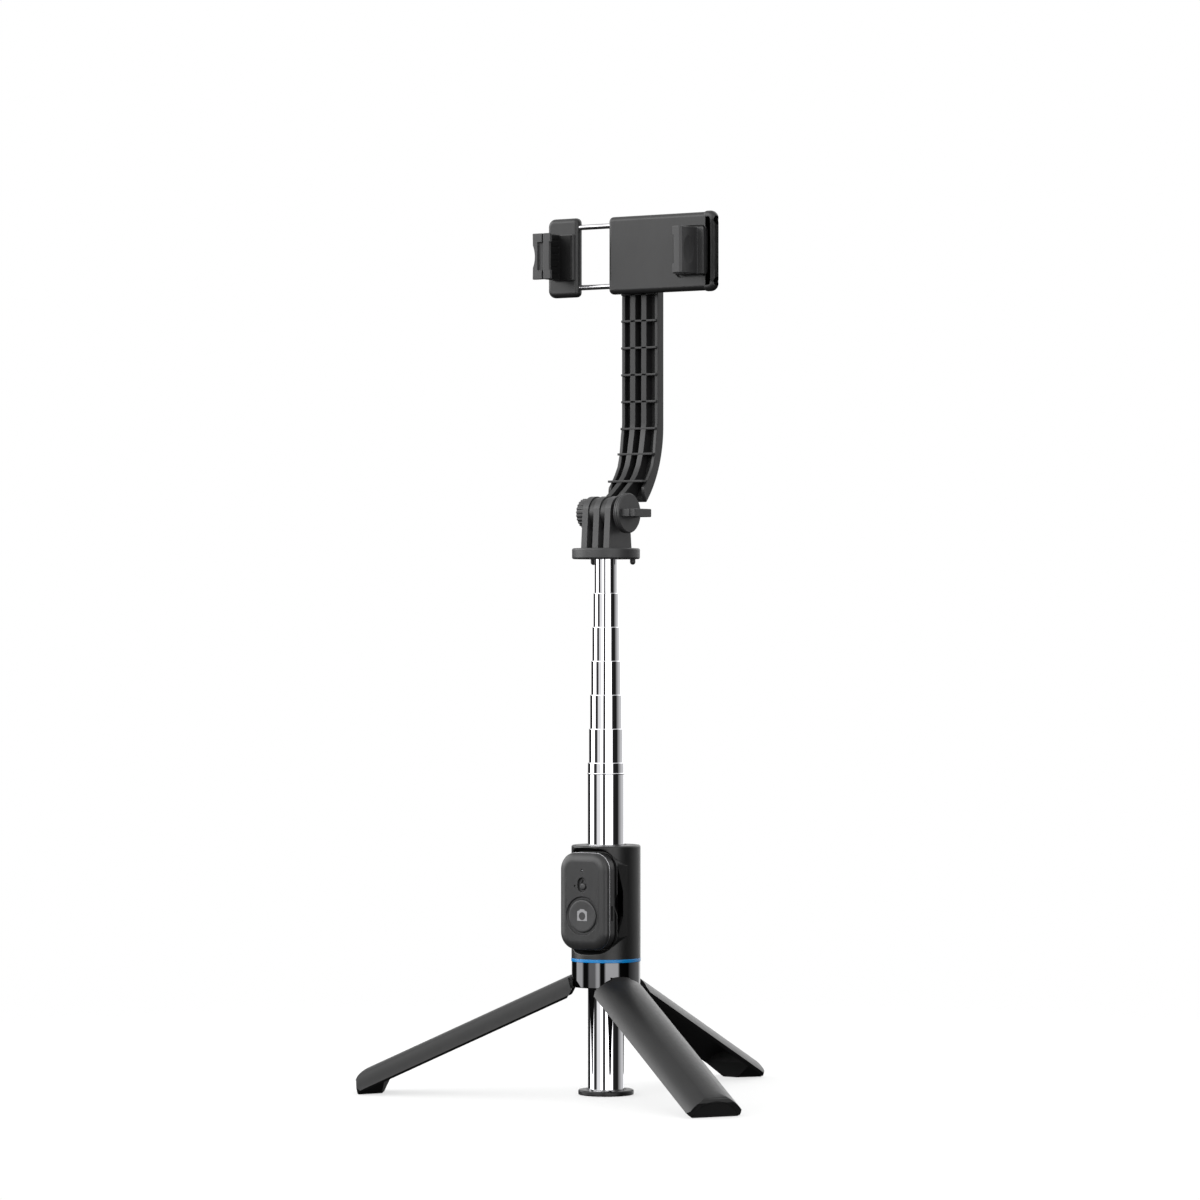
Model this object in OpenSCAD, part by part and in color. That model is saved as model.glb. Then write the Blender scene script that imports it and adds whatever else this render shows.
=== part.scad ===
// Pocket selfie stick with a telescopic pole, folding tripod legs,
// a tilting arm, a sprung phone clamp and a pull-off remote.
// Origin: on the floor, on the pole's axis. +Z is up, the clamp faces -Y.

/* [Pole] */
// Outer radius of the widest tube
tube_r = 8; // [7.5:0.1:8]
// Radius lost from each tube to the next
tube_step = 0.5; // [0.5:0.05:0.55]
// Wall thickness of a tube
tube_wall = 0.3; // [0.25:0.01:0.32]
// Length of the widest tube
tube_len = 144.2; // [140:0.1:150]
// How far each inner tube is pulled out
pull_out = 14.95; // [10:0.05:20]
// Radius of the disc under the pole
base_r = 12.25; // [11:0.05:12.5]
// Thickness of the disc under the pole
base_h = 2.2; // [1.8:0.1:3]

/* [Handle] */
// Outer radius of the handle and of the closed legs
handle_r = 15.25; // [15:0.05:15.5]
// Height of the handle's lower end
handle_z0 = 60.3; // [60:0.1:61]
// Height of the handle's upper end
handle_z1 = 110.1; // [110:0.1:112]
// Height of the lower end of the hub
hub_z0 = 47.6; // [47.4:0.1:47.8]
// Height of the coloured ring's lower end
ring_z0 = 58.8; // [58.6:0.1:59]

/* [Legs] */
// Distance of a leg's hinge pin from the pole's axis
pin_at = 12; // [11.9:0.05:12.1]
// Height of a leg's hinge pin
pin_z = 50.8; // [50.6:0.1:51]
// Slope of an open leg below the horizontal
leg_slope = 24.85; // [24:0.05:26]
// Length of a leg from its hinge pin
leg_len = 109.2; // [108:0.1:109.5]
// Wall thickness of a leg
leg_wall = 2; // [1.6:0.1:2.2]

/* [Head] */
// Radius of the round plate on top of the pole
plate_r = 15; // [14.5:0.1:15.2]
// Thickness of the round plate
plate_h = 4.8; // [4.5:0.1:5]
// Thickness of each prong, and of each gap between prongs
prong_w = 3; // [3:0.05:3.1]
// Height of the tilt axis above the plate
tilt_h = 15.4; // [15.2:0.1:16]

/* [Arm] */
// Width of the arm
arm_w = 19.5; // [19:0.1:20]
// Radius of the bend in the arm's back
arm_bend = 50; // [50:1:50]
// Distance from the tilt axis to the clamp's axis
arm_reach = 115.3; // [112:0.1:118]

/* [Clamp] */
// Width of the phone that the jaws are set to
phone_w = 71.5; // [66:0.5:74]
// Half of the width of the clamp's frame
frame_half = 45.2; // [45:0.1:46]
// Height of the clamp's frame
frame_h = 35.5; // [35:0.5:37]
// Height of the jaws
jaw_h = 20.5; // [18:0.5:21]

/* [Remote] */
// Width of the remote
remote_w = 25.3; // [25:0.1:25.6]
// Height of the remote
remote_h = 42.4; // [42:0.1:43]
// Height of the remote's centre above the floor
remote_z = 85.9; // [85.5:0.1:86.3]
// Radius of the shutter button
button_r = 7.2; // [6.5:0.1:7.3]

/* [Hidden] */
$fn = 64;
eps = 0.01;
run = 0.06;         // radial clearance of a running fit
play = 0.05;        // radial room round a shaft that stays put
tubes = 7;
tube_z0 = base_h;
tube_top = tube_z0 + tube_len;
plate_z = tube_top + pull_out * (tubes - 1);
tilt_z = plate_z + plate_h + tilt_h;
clamp_z = tilt_z + arm_reach;
bore_r = tube_r + run;          // bushes that guide the pole
bush_ring = 2.5;                // part of a bush below its tube's end
bush_spigot = 2;                // part of a bush inside its tube
bush_wall = 0.6;
second_len = 134;               // length of the second tube
len_step = 5;                   // each inner tube is this much shorter
pod_face = -10.5;               // where the remote's dock faces
pod_wall = 1.8;
scallop_r = 7.25;
hub_r = handle_r - 0.1;
hub_bore = 9.3;
spigot_r = 13.2;
lug_r = 2.4;
lug_w = 8.6;
slot_w = 9.2;
leg_pin_r = 1;
leg_pin_half = 7.2;
leg_start = 3.7;
bolt_r = 2.45;
bolt_end = 12.2;                // the tilt bolt's blind end in the knob
frame_y0 = 18.3;
frame_y1 = 23.3;
rod_y = (frame_y0 + frame_y1) / 2;
rod_z = 13.5;
rod_r = 1.2;
chamber_r = 2;
seam_x = -12;                   // where the frame's two halves meet when shut
jaw_open = 16.5;                // how far the sliding half is pulled out
arm_front = 26.2;
arm_back = 30.8;
arm_wall = 1.7;
arm_web = 1.6;
remote_back_y = -10.8;
seam_y = -15.25;
remote_front_y = -18.3;
button_z = 79.5;
switch_z = 93.1;
led_z = 99.3;
board_y = -16.4;
magnets_z = [70, 102];
magnet_r = 2.5;
peg_x = 10.6;                   // the head's two pegs, and their holes in the handle
peg_y = 5.4;
peg_r = 1.2;
nut_r = 4.6;                    // across the nut's corners, halved
lip_notch = 12.4;               // height of the notch in a jaw's lip and in the thumb tab
leg_angles = [-30, 90, 210];

// ---- helpers ----

function tube_outer(k) = tube_r - tube_step * (k - 1);
function tube_end(k) = tube_top + pull_out * (k - 1);
function tube_length(k) = k == 1 ? tube_len : second_len - len_step * (k - 2);

// a ring about the Z axis
module ring(outer, inner, z0, z1) {
    difference() {
        translate([0, 0, z0]) cylinder(r = outer, h = z1 - z0);
        translate([0, 0, z0 - 1]) cylinder(r = inner, h = z1 - z0 + 2);
    }
}

// a flat shape in X and Z, pushed out from y0 to y1
module slab(y0, y1) {
    translate([0, y1, 0]) rotate([90, 0, 0]) linear_extrude(y1 - y0) children();
}

// a flat shape in Y and Z, pushed out from x0 to x1
module side_plate(x0, x1) {
    translate([x0, 0, 0]) rotate([90, 0, 90]) linear_extrude(x1 - x0) children();
}

// a rectangle with round corners, centred
module round_rect(w, h, r) {
    for (x = [-1, 1], y = [-1, 1])
        translate([x * (w / 2 - r), y * (h / 2 - r)]) circle(r = r);
    square([w - 2 * r, h], center = true);
    square([w, h - 2 * r], center = true);
}

// a rod along X
module rod_x(r, x0, x1) {
    translate([x0, 0, 0]) rotate([0, 90, 0]) cylinder(r = r, h = x1 - x0);
}

// a rod along Y
module rod_y(r, y0, y1) {
    translate([0, y1, 0]) rotate([90, 0, 0]) cylinder(r = r, h = y1 - y0);
}

// turns a part into a leg's place: x runs outwards from the pin, y along it
module at_pin(azimuth) {
    rotate([0, 0, azimuth]) translate([pin_at, 0, pin_z]) children();
}

// turns a part drawn along a leg (x along it, z outwards) into an open leg
module open_leg(azimuth) {
    at_pin(azimuth) rotate([0, leg_slope, 0]) children();
}

// ---- handle ----

module pod_outline(grow) {
    translate([0, remote_z]) round_rect(remote_w + grow, remote_h + grow, 7.5 + grow / 2);
}

module handle_shell() {
    color("#2b2b2d") difference() {
        union() {
            difference() {
                translate([0, 0, handle_z0]) cylinder(r = handle_r, h = handle_z1 - handle_z0);
                slab(-20, pod_face) pod_outline(2.2);
            }
            hull() {
                slab(pod_face, pod_face + 0.5) pod_outline(1.4);
                slab(-4.5, -4) pod_outline(2.8);
            }
        }
        translate([0, 0, handle_z0 - 1]) cylinder(r = spigot_r, h = 4.5);
        intersection() {
            translate([0, 0, handle_z0]) cylinder(r = spigot_r, h = 45);
            translate([-20, pod_face + pod_wall, handle_z0]) cube([40, 40, 60]);
        }
        translate([0, 0, handle_z0]) cylinder(r = tube_r + 0.6, h = 60);
        for (side = [-1, 1])
            translate([peg_x * side, peg_y, handle_z1 - 3]) cylinder(r = peg_r + 0.3, h = 4);
        for (z = magnets_z)
            translate([0, 0, z]) rod_y(magnet_r, pod_face - 1, pod_face + 1.5);
        for (side = [-1, 1])
            translate([side * (remote_w / 2 + 6.5), 0, 84.7]) finger_scallop();
    }
}

// the hollow beside the remote that lets a finger get behind it
module finger_scallop() {
    rod_y(scallop_r, pod_face - 1, pod_face + 3.2);
}

module accent_ring() {
    color("#0082cd") ring(handle_r + 0.1, spigot_r, ring_z0, handle_z0);
}

module hub_collar() {
    color("#1c1c1e") difference() {
        union() {
            translate([0, 0, hub_z0]) cylinder(r = hub_r, h = ring_z0 - hub_z0);
            translate([0, 0, hub_z0]) cylinder(r = spigot_r - play, h = handle_z0 + 3 - hub_z0);
        }
        translate([0, 0, hub_z0 - 1]) cylinder(r = hub_bore, h = 30);
        for (a = leg_angles) {
            at_pin(a) leg_slot();
            at_pin(a) rod_y(leg_pin_r, -leg_pin_half, leg_pin_half);
        }
    }
}

// the room a leg's lug and rounded end need in the hub
module leg_slot() {
    slab(-slot_w / 2, slot_w / 2)
        polygon([[-2.7, -6], [-2.7, 2.6], [0, 3.2], [hub_r - pin_at, 1.4], [6, -0.2], [6, -6]]);
    slab(-9, 9) difference() {
        translate([0, -5]) square([6, 5]);
        circle(r = 3.4);
    }
}

module top_bush() {
    color("#3c3c3f") intersection() {
        ring(spigot_r - play, bore_r, 96, 103.6);
        translate([-20, pod_face + pod_wall, 90]) cube([40, 40, 20]);
    }
}

module hub_bush() {
    color("#3c3c3f") ring(hub_bore, bore_r, hub_z0 + 0.2, handle_z0 + 3);
}

module leg_pins() {
    color("#b8babd") for (a = leg_angles) at_pin(a) rod_y(leg_pin_r, -leg_pin_half, leg_pin_half);
}

module dock_magnets() {
    color("#9a9ca0") for (z = magnets_z)
        translate([0, 0, z]) rod_y(magnet_r, pod_face + play, pod_face + 1.5);
}

// ---- pole ----

module base_disc() {
    color("#232325") {
        rotate_extrude() polygon([[0, 0], [base_r - 0.4, 0], [base_r, 0.4], [base_r, base_h - 0.5],
            [base_r - 0.5, base_h], [0, base_h]]);
        translate([0, 0, base_h]) cylinder(r = tube_r - tube_wall, h = 6);
    }
}

// one chrome tube, closed in at its mouth round the next tube
module pole_tube(k) {
    outer = tube_outer(k);
    inner = outer - tube_wall;
    top = tube_end(k);
    mouth = outer - tube_step + run;
    lip = 1.2;
    color("#d6d8da") rotate_extrude()
        if (k < tubes)
            polygon([[inner, top - tube_length(k)], [outer, top - tube_length(k)],
                [outer, top - 0.5], [outer - 0.2, top], [mouth, top], [mouth, top - lip],
                [inner, top - lip - 0.3]]);
        else
            polygon([[inner, top - tube_length(k)], [outer, top - tube_length(k)],
                [outer, top + 3.4], [inner, top + 3.4]]);
}

module tube_1() {
    pole_tube(1);
    color("#d6d8da") translate([0, 0, tube_top - 4.9]) rotate_extrude()
        polygon([[tube_r - 0.1, -1], [tube_r + 0.25, -0.6], [tube_r + 0.25, 0.6], [tube_r - 0.1, 1]]);
}

module tube_2() { pole_tube(2); }

module tube_3() { pole_tube(3); }

module tube_4() { pole_tube(4); }

module tube_5() { pole_tube(5); }

module tube_6() { pole_tube(6); }

module tube_7() { pole_tube(7); }

// the bush on the lower end of an inner tube
module glide(k) {
    outer = tube_outer(k);
    bottom = tube_end(k) - tube_length(k);
    color("#e6e6e2") {
        ring(outer + tube_step - tube_wall - run, outer - tube_wall - bush_wall,
            bottom - bush_ring, bottom);
        ring(outer - tube_wall, outer - tube_wall - bush_wall, bottom - eps, bottom + bush_spigot);
    }
}

module glide_2() { glide(2); }

module glide_3() { glide(3); }

module glide_4() { glide(4); }

module glide_5() { glide(5); }

module glide_6() { glide(6); }

module glide_7() { glide(7); }

// ---- head ----

module prong_side() {
    difference() {
        union() {
            circle(r = 7.5);
            polygon([[-7.2, 2], [7.2, 2], [9, -tilt_h - eps], [-8.5, -tilt_h - eps]]);
        }
        circle(r = bolt_r + play);
    }
}

module head_mount() {
    color("#353537") {
        difference() {
            translate([0, 0, plate_z]) rotate_extrude()
                polygon([[0, 0], [plate_r - 0.7, 0], [plate_r, 0.7], [plate_r, plate_h - 0.7],
                    [plate_r - 0.7, plate_h], [0, plate_h]]);
            translate([0, 0, plate_z - 1]) cylinder(r = tube_outer(tubes), h = 4.4);
        }
        for (x = [-2.5, -0.5, 1.5])
            translate([0, 0, tilt_z]) side_plate(x * prong_w, (x + 1) * prong_w) prong_side();
        for (side = [-1, 1]) translate([peg_x * side, peg_y, plate_z - 1.3]) {
            cylinder(r = peg_r, h = 1.5);
            sphere(r = peg_r);
        }
    }
}

// wing knob on the tilt bolt
module thumb_knob() {
    color("#2e2e30") translate([0, 0, tilt_z]) difference() {
        union() {
            rod_x(4.1, 7.6, 11);
            rod_x(8.8, 11, 12.8);
            translate([12.8 - eps, -6.5, -1.8]) cube([7.1, 13, 3.6]);
        }
        rod_x(bolt_r, 7, bolt_end);
    }
}

module tilt_bolt() {
    color("#c4c6c8") translate([0, 0, tilt_z]) rod_x(bolt_r, -11, bolt_end);
}

module nut_cap() {
    color("#2e2e30") translate([0, 0, tilt_z]) difference() {
        union() {
            rod_x(6.3, -12.1, -7.5);
            side_plate(-11.7, -7.5) for (i = [0 : 23]) rotate(i * 15)
                translate([6, -0.4]) square([0.65, 0.8]);
        }
        rod_x(bolt_r + play, -11.2, -7);
        rotate([0, -90, 0]) translate([0, 0, 7]) cylinder(r = nut_r, h = 3.5, $fn = 6);
    }
}

module hex_nut() {
    color("#c4c6c8") translate([0, 0, tilt_z]) difference() {
        rotate([0, -90, 0]) translate([0, 0, 7.5]) cylinder(r = nut_r, h = 3, $fn = 6);
        rod_x(bolt_r + play, -12, -7);
    }
}

// ---- arm ----

bend_y = arm_back - arm_bend;
bend_z = 295.5;
rear_curve = [for (a = [-43 : 3 : -1]) [bend_y + arm_bend * cos(a), bend_z + arm_bend * sin(a)]];
inner_curve = [for (a = [-1 : -3 : -40])
    [bend_y + (arm_bend - arm_web) * cos(a), bend_z + (arm_bend - arm_web) * sin(a)]];
rim_curve = [[26.2, 296.5], [25.2, 291], [24.2, 283], [22.6, 277.5], [20.3, 273.7], [17.8, 270.4],
    [15.7, 268], [15.5, 265.3]];
rib_curve = [[25, 297], [24, 291], [22.6, 284], [20.6, 278], [18, 273.7], [14.4, 270], [9, 266],
    [3.5, 262.4]];

// the arm's whole side
module arm_side() {
    polygon(concat(rear_curve, [[arm_back, bend_z], [arm_back, clamp_z], [arm_front, clamp_z]],
        rim_curve));
}

// the strip along the arm's back
module arm_back_strip() {
    polygon(concat(rear_curve, [[arm_back, bend_z], [arm_back, clamp_z],
        [arm_back - arm_web, clamp_z], [arm_back - arm_web, bend_z]], inner_curve));
}

// a lug on the tilt bolt, running on as a rib inside the arm
module arm_rib() {
    difference() {
        union() {
            polygon(concat(rear_curve, [[arm_back, bend_z], [arm_back, clamp_z - 5],
                [arm_front + 0.4, clamp_z - 5], [arm_front + 0.4, clamp_z - 10.5],
                [25, clamp_z - 12]], rib_curve, [[0, tilt_z], [1.5, tilt_z - 6.8]]));
            translate([0, tilt_z]) circle(r = 7);
        }
        translate([0, tilt_z]) circle(r = bolt_r + play);
    }
}

module tilt_arm() {
    color("#2a2a2c") difference() {
        union() {
            for (x = [-arm_w / 2, arm_w / 2 - arm_wall]) side_plate(x, x + arm_wall) arm_side();
            for (x = [-4.4, 1.6]) side_plate(x, x + 2.8) arm_rib();
            side_plate(-arm_w / 2, arm_w / 2) arm_back_strip();
            for (z = [270.3, 282.6, 294, 306, 318, 330, 342, 354])
                intersection() {
                    translate([-arm_w / 2 + 0.5, 10, z]) cube([arm_w - 1, 25, 1]);
                    side_plate(-arm_w / 2, arm_w / 2) arm_rib();
                }
            translate([0, 0, clamp_z]) rod_y(arm_w / 2, arm_front, arm_back);
        }
        translate([0, 0, clamp_z]) rod_y(2.55, 20, 40);
        translate([0, 0, clamp_z]) rod_y(4.3, 28.6, 40);
    }
}

// ---- clamp ----

module pivot_screw() {
    color("#c4c6c8") translate([0, 0, clamp_z]) difference() {
        union() {
            rod_y(2.5, 19.8, 28.8);
            rod_y(4.2, 28.7, 30.4);
        }
        slab(29.5, 31) square([6, 1], center = true);
        slab(29.5, 31) square([1, 6], center = true);
    }
}

module pivot_washer() {
    color("#d8d8d4") translate([0, 0, clamp_z]) difference() {
        rod_y(7.5, 25.7, 26.1);
        rod_y(2.5, 25, 27);
    }
}

// half of the clamp's frame, between x0 and x1
module frame_half_bar(x0, x1) {
    translate([0, 0, clamp_z]) intersection() {
        slab(frame_y0, frame_y1) round_rect(2 * frame_half, frame_h, 3.5);
        translate([x0, 0, -frame_h]) cube([x1 - x0, 40, 2 * frame_h]);
    }
}

module clamp_frame() {
    color("#2a2a2c") difference() {
        union() {
            frame_half_bar(seam_x, frame_half + 1);
            translate([0, 0, clamp_z]) rod_y(8, frame_y1 - eps, 25.7);
        }
        for (side = [-1, 1]) translate([0, rod_y, clamp_z + side * rod_z]) {
            rod_x(chamber_r, seam_x + 4, frame_half + 2);
            rod_x(rod_r + play, seam_x - 1, seam_x + 5);
        }
        translate([0, 0, clamp_z]) rod_y(2.5, 19.8, 27);
        translate([0, 0, clamp_z]) slab(16, frame_y0 + 1.4)
            translate([33, 0]) round_rect(17, jaw_h + 2.4, 3);
    }
}

// a jaw that faces -X; phone is the X of the phone's edge
module jaw_body(phone, root) {
    slab(3.5, 5) translate([phone - 2.85, -jaw_h / 2]) square([4.8, jaw_h]);
    slab(4.9, 6.3) translate([phone - 0.4, -jaw_h / 2]) square([2.35, jaw_h]);
    slab(6.2, 18.3) translate([phone + 0.75, -jaw_h / 2]) square([1.2, jaw_h]);
    slab(16, frame_y0) translate([phone - root, -jaw_h / 2]) square([root + 5.2, jaw_h]);
}

// the rubber that the phone's edge and back rest on
module jaw_pad(phone, root) {
    slab(6.3, 16) translate([phone, -jaw_h / 2 + 0.5]) square([0.75, jaw_h - 1]);
    slab(14.7, 16) translate([phone - root, -jaw_h / 2 + 0.5]) square([root + 0.75, jaw_h - 1]);
}

module fixed_jaw() {
    color("#353537") translate([0, 0, clamp_z]) difference() {
        union() {
            jaw_body(phone_w / 2, 10);
            slab(frame_y0 - eps, frame_y0 + 1.4) translate([33, 0])
                round_rect(15.5, jaw_h - 1, 2.5);
        }
        translate([phone_w / 2 - 3, 3, -lip_notch / 2]) cube([0.75, 2, lip_notch]);
    }
}

module fixed_jaw_pad() {
    color("#1a1a1b") translate([0, 0, clamp_z]) jaw_pad(phone_w / 2, 10);
}

module sliding_frame() {
    color("#2a2a2c") difference() {
        frame_half_bar(-frame_half, seam_x - jaw_open);
        for (side = [-1, 1]) translate([0, rod_y, clamp_z + side * rod_z])
            rod_x(rod_r, -42, seam_x);
    }
}

module moving_jaw() {
    color("#353537") translate([0, 0, clamp_z]) difference() {
        union() {
            mirror([1, 0, 0]) jaw_body(phone_w / 2, 6);
            difference() {
                slab(14.2, 16) translate([-42.6, -jaw_h / 2]) square([5.3, jaw_h]);
                translate([-53.4, 0, 0]) rod_y(12, 12, 18);
            }
            slab(15.9, frame_y0) translate([-41, -jaw_h / 2]) square([4, jaw_h]);
        }
        slab(13, 15.2) translate([-41.2, -lip_notch / 2]) square([3.2, lip_notch]);
    }
}

module moving_jaw_pad() {
    color("#1a1a1b") translate([0, 0, clamp_z]) mirror([1, 0, 0]) jaw_pad(phone_w / 2, 6);
}

module guide_rods() {
    color("#c4c6c8") for (side = [-1, 1]) translate([0, rod_y, clamp_z + side * rod_z]) {
        rod_x(rod_r, -42, 26);
        rod_x(chamber_r - play, 25.9, 27.4);
    }
}

// a wire wound round the X axis from x0 to x1
module coil_spring(x0, x1, coil_r, wire_r, turns) {
    steps = 12 * turns;
    sides = 6;
    wire_ring = function (i, j) let (a = 360 * turns * i / steps, b = 360 * j / sides)
        [x0 + (x1 - x0) * i / steps + wire_r * sin(b),
            (coil_r + wire_r * cos(b)) * cos(a), (coil_r + wire_r * cos(b)) * sin(a)];
    polyhedron(
        points = [for (i = [0 : steps], j = [0 : sides - 1]) wire_ring(i, j)],
        faces = concat(
            [[for (j = [0 : sides - 1]) j]],
            [for (i = [0 : steps - 1], j = [0 : sides - 1]) let (k = (j + 1) % sides)
                [i * sides + j, (i + 1) * sides + j, (i + 1) * sides + k]],
            [for (i = [0 : steps - 1], j = [0 : sides - 1]) let (k = (j + 1) % sides)
                [i * sides + j, (i + 1) * sides + k, i * sides + k]],
            [[for (j = [sides - 1 : -1 : 0]) steps * sides + j]]));
}

module clamp_springs() {
    color("#b0b2b5") for (side = [-1, 1]) translate([0, rod_y, clamp_z + side * rod_z])
        coil_spring(seam_x + 4.4, 25.5, 1.6, 0.28, 11);
}

// ---- remote ----

module remote_outline(grow) {
    translate([0, remote_z]) round_rect(remote_w + grow, remote_h + grow, 7.5 + grow / 2);
}

module remote_back() {
    color("#2b2b2d") difference() {
        slab(seam_y + 0.15, remote_back_y) remote_outline(0);
        slab(seam_y - 1, remote_back_y - 1.2) remote_outline(-2.6);
        for (z = magnets_z)
            translate([0, 0, z]) rod_y(magnet_r, remote_back_y - 0.6, remote_back_y + 1);
        translate([remote_w / 2 - 0.8, -14.2, 77.5]) cube([2, 1.4, 6.5]);
    }
}

module remote_front() {
    color("#2b2b2d") difference() {
        union() {
            slab(remote_front_y + 1.6, seam_y - 0.15) remote_outline(0);
            hull() {
                slab(remote_front_y, remote_front_y + 0.4) remote_outline(-3.2);
                slab(remote_front_y + 1.5, remote_front_y + 1.7) remote_outline(0);
            }
        }
        slab(remote_front_y + 1.2, seam_y + 1) difference() {
            remote_outline(-2.6);
            translate([0, switch_z]) round_rect(8, 9.4, 1);
        }
        slab(board_y - 0.3, seam_y + 1) remote_outline(-2.6);
        translate([0, 0, button_z]) rod_y(button_r + run, -20, -14);
        translate([0, 0, led_z]) rod_y(0.6, -20, -14);
        slab(-20, remote_front_y + 1) translate([0, switch_z]) round_rect(5.1, 6.4, 2.5);
        slab(-20, -14) translate([0, switch_z]) round_rect(1.9, 4.4, 0.9);
        translate([-4, 0, 92.6]) rod_y(0.4, -20, -14);
    }
}

// the thin bright ring between the remote's two shells
module remote_trim() {
    color("#9fa1a4") difference() {
        slab(seam_y - 0.15, seam_y + 0.15) remote_outline(0.1);
        slab(seam_y - 1, seam_y + 1) remote_outline(-2.6);
    }
}

module shutter_button() {
    color("#3a3a3c") translate([0, 0, button_z]) rod_y(button_r, -18.35, -17.45);
}

module power_switch() {
    color("#59595c") translate([0, 0, switch_z - 0.7]) {
        rod_y(1.5, remote_front_y + 0.15, remote_front_y + 0.95);
        slab(remote_front_y + 0.9, board_y - 0.1) square([1.6, 1.5], center = true);
    }
}

module status_light() {
    color("#d9dde2") translate([0, 0, led_z]) rod_y(0.6, remote_front_y + 0.05, board_y);
}

module circuit_board() {
    color("#1d5b38") slab(board_y, board_y + 1) translate([0, remote_z])
        round_rect(21.5, 38.6, 5.5);
}

module dome_switch() {
    color("#c9a64b") translate([0, board_y, button_z]) rotate([90, 0, 0]) rotate_extrude()
        polygon([[0, 0], [2.6, 0], [2.3, 0.2], [1.2, 0.45], [0, 0.5]]);
}

module coin_cell() {
    color("#c9cbcd") translate([0, 0, 84]) rod_y(10, board_y + 1.1, board_y + 4.3);
}

module keeper_plates() {
    color("#b5b7ba") for (z = magnets_z)
        translate([0, 0, z]) rod_y(magnet_r, remote_back_y - 0.6, remote_back_y - play);
}

// ---- legs ----

// a third of a round, seen along a leg: x outwards (0 at the pin), y across
module leg_sector(outer) {
    intersection() {
        translate([-pin_at, 0]) circle(r = outer, $fn = 96);
        translate([-pin_at + 0.3, 0]) polygon([[0, 0], [40 * cos(60), -40 * sin(60)],
            [40, -40 * sin(60)], [40, 40 * sin(60)], [40 * cos(60), 40 * sin(60)]]);
    }
}

// pushes a flat shape (x outwards, y across) along a leg
module along_leg(u0, u1) {
    translate([u0, 0, 0]) rotate([0, 90, 0]) linear_extrude(u1 - u0) mirror([1, 0]) children();
}

// the leg from the side: x along it, y outwards
module leg_side(shrink) {
    crown = handle_r - pin_at;
    tip = leg_len - shrink;
    nose = [for (a = [90 : -10 : 20]) [tip - 7.6 + 6.4 * cos(a), crown - 3.2 + 3.2 * sin(a)]];
    polygon(concat([[leg_start, -13], [leg_start, crown + 1], [tip - 7.6, crown + 1]], nose,
        [[tip - 1.4, 0.9], [tip, -5], [tip + 0.7, -13]]));
}

module leg_shell() {
    difference() {
        intersection() {
            along_leg(leg_start, leg_len + 2) difference() {
                leg_sector(handle_r);
                translate([-pin_at, 0]) circle(r = handle_r - leg_wall, $fn = 96);
            }
            slab(-20, 20) leg_side(0);
        }
        // the lower corners at the hinge end slope back
        slab(-20, 20) polygon([[0, -2.6], [leg_start, -2.6], [leg_start + 4.4, -6], [0, -6]]);
    }
}

// the lug that turns on the hinge pin, ending in the leg's outer skin
module leg_lug() {
    difference() {
        intersection() {
            slab(-lug_w / 2, lug_w / 2) union() {
                circle(r = lug_r);
                polygon([[0, -lug_r], [11, -lug_r], [15, 2], [15, 4], [2.4, 4], [2.4, 1], [0, lug_r]]);
            }
            along_leg(-3, 16) translate([-pin_at, 0]) circle(r = handle_r, $fn = 96);
        }
        rod_y(leg_pin_r + run, -10, 10);
    }
}

module leg(azimuth) {
    color("#2b2b2d") open_leg(azimuth) {
        leg_shell();
        leg_lug();
    }
}

// rubber foot that fills the leg's open end and stands on the floor
module foot(azimuth) {
    inside = handle_r - leg_wall;
    color("#161617") intersection() {
        open_leg(azimuth) intersection() {
            along_leg(90, leg_len + 2) leg_sector(inside);
            slab(-20, 20) leg_side(0.3);
            slab(-20, 20) polygon([[95, 6], [95, -4], [101, -10], [112, -10], [112, 6]]);
        }
        translate([-150, -150, 0]) cube([300, 300, 100]);
    }
}

module leg_a() { leg(leg_angles[0]); }

module leg_b() { leg(leg_angles[1]); }

module leg_c() { leg(leg_angles[2]); }

module foot_a() { foot(leg_angles[0]); }

module foot_b() { foot(leg_angles[1]); }

module foot_c() { foot(leg_angles[2]); }

handle_shell();
accent_ring();
hub_collar();
top_bush();
hub_bush();
leg_pins();
dock_magnets();
base_disc();
tube_1();
tube_2();
tube_3();
tube_4();
tube_5();
tube_6();
tube_7();
glide_2();
glide_3();
glide_4();
glide_5();
glide_6();
glide_7();
head_mount();
thumb_knob();
tilt_bolt();
nut_cap();
hex_nut();
tilt_arm();
pivot_screw();
pivot_washer();
clamp_frame();
fixed_jaw();
fixed_jaw_pad();
sliding_frame();
moving_jaw();
moving_jaw_pad();
guide_rods();
clamp_springs();
remote_back();
remote_front();
remote_trim();
shutter_button();
power_switch();
status_light();
circuit_board();
dome_switch();
coin_cell();
keeper_plates();
leg_a();
leg_b();
leg_c();
foot_a();
foot_b();
foot_c();
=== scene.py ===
"""A pocket selfie stick on its open tripod legs: the looks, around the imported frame."""

import math

import bpy
from mathutils import Matrix, Vector


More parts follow.
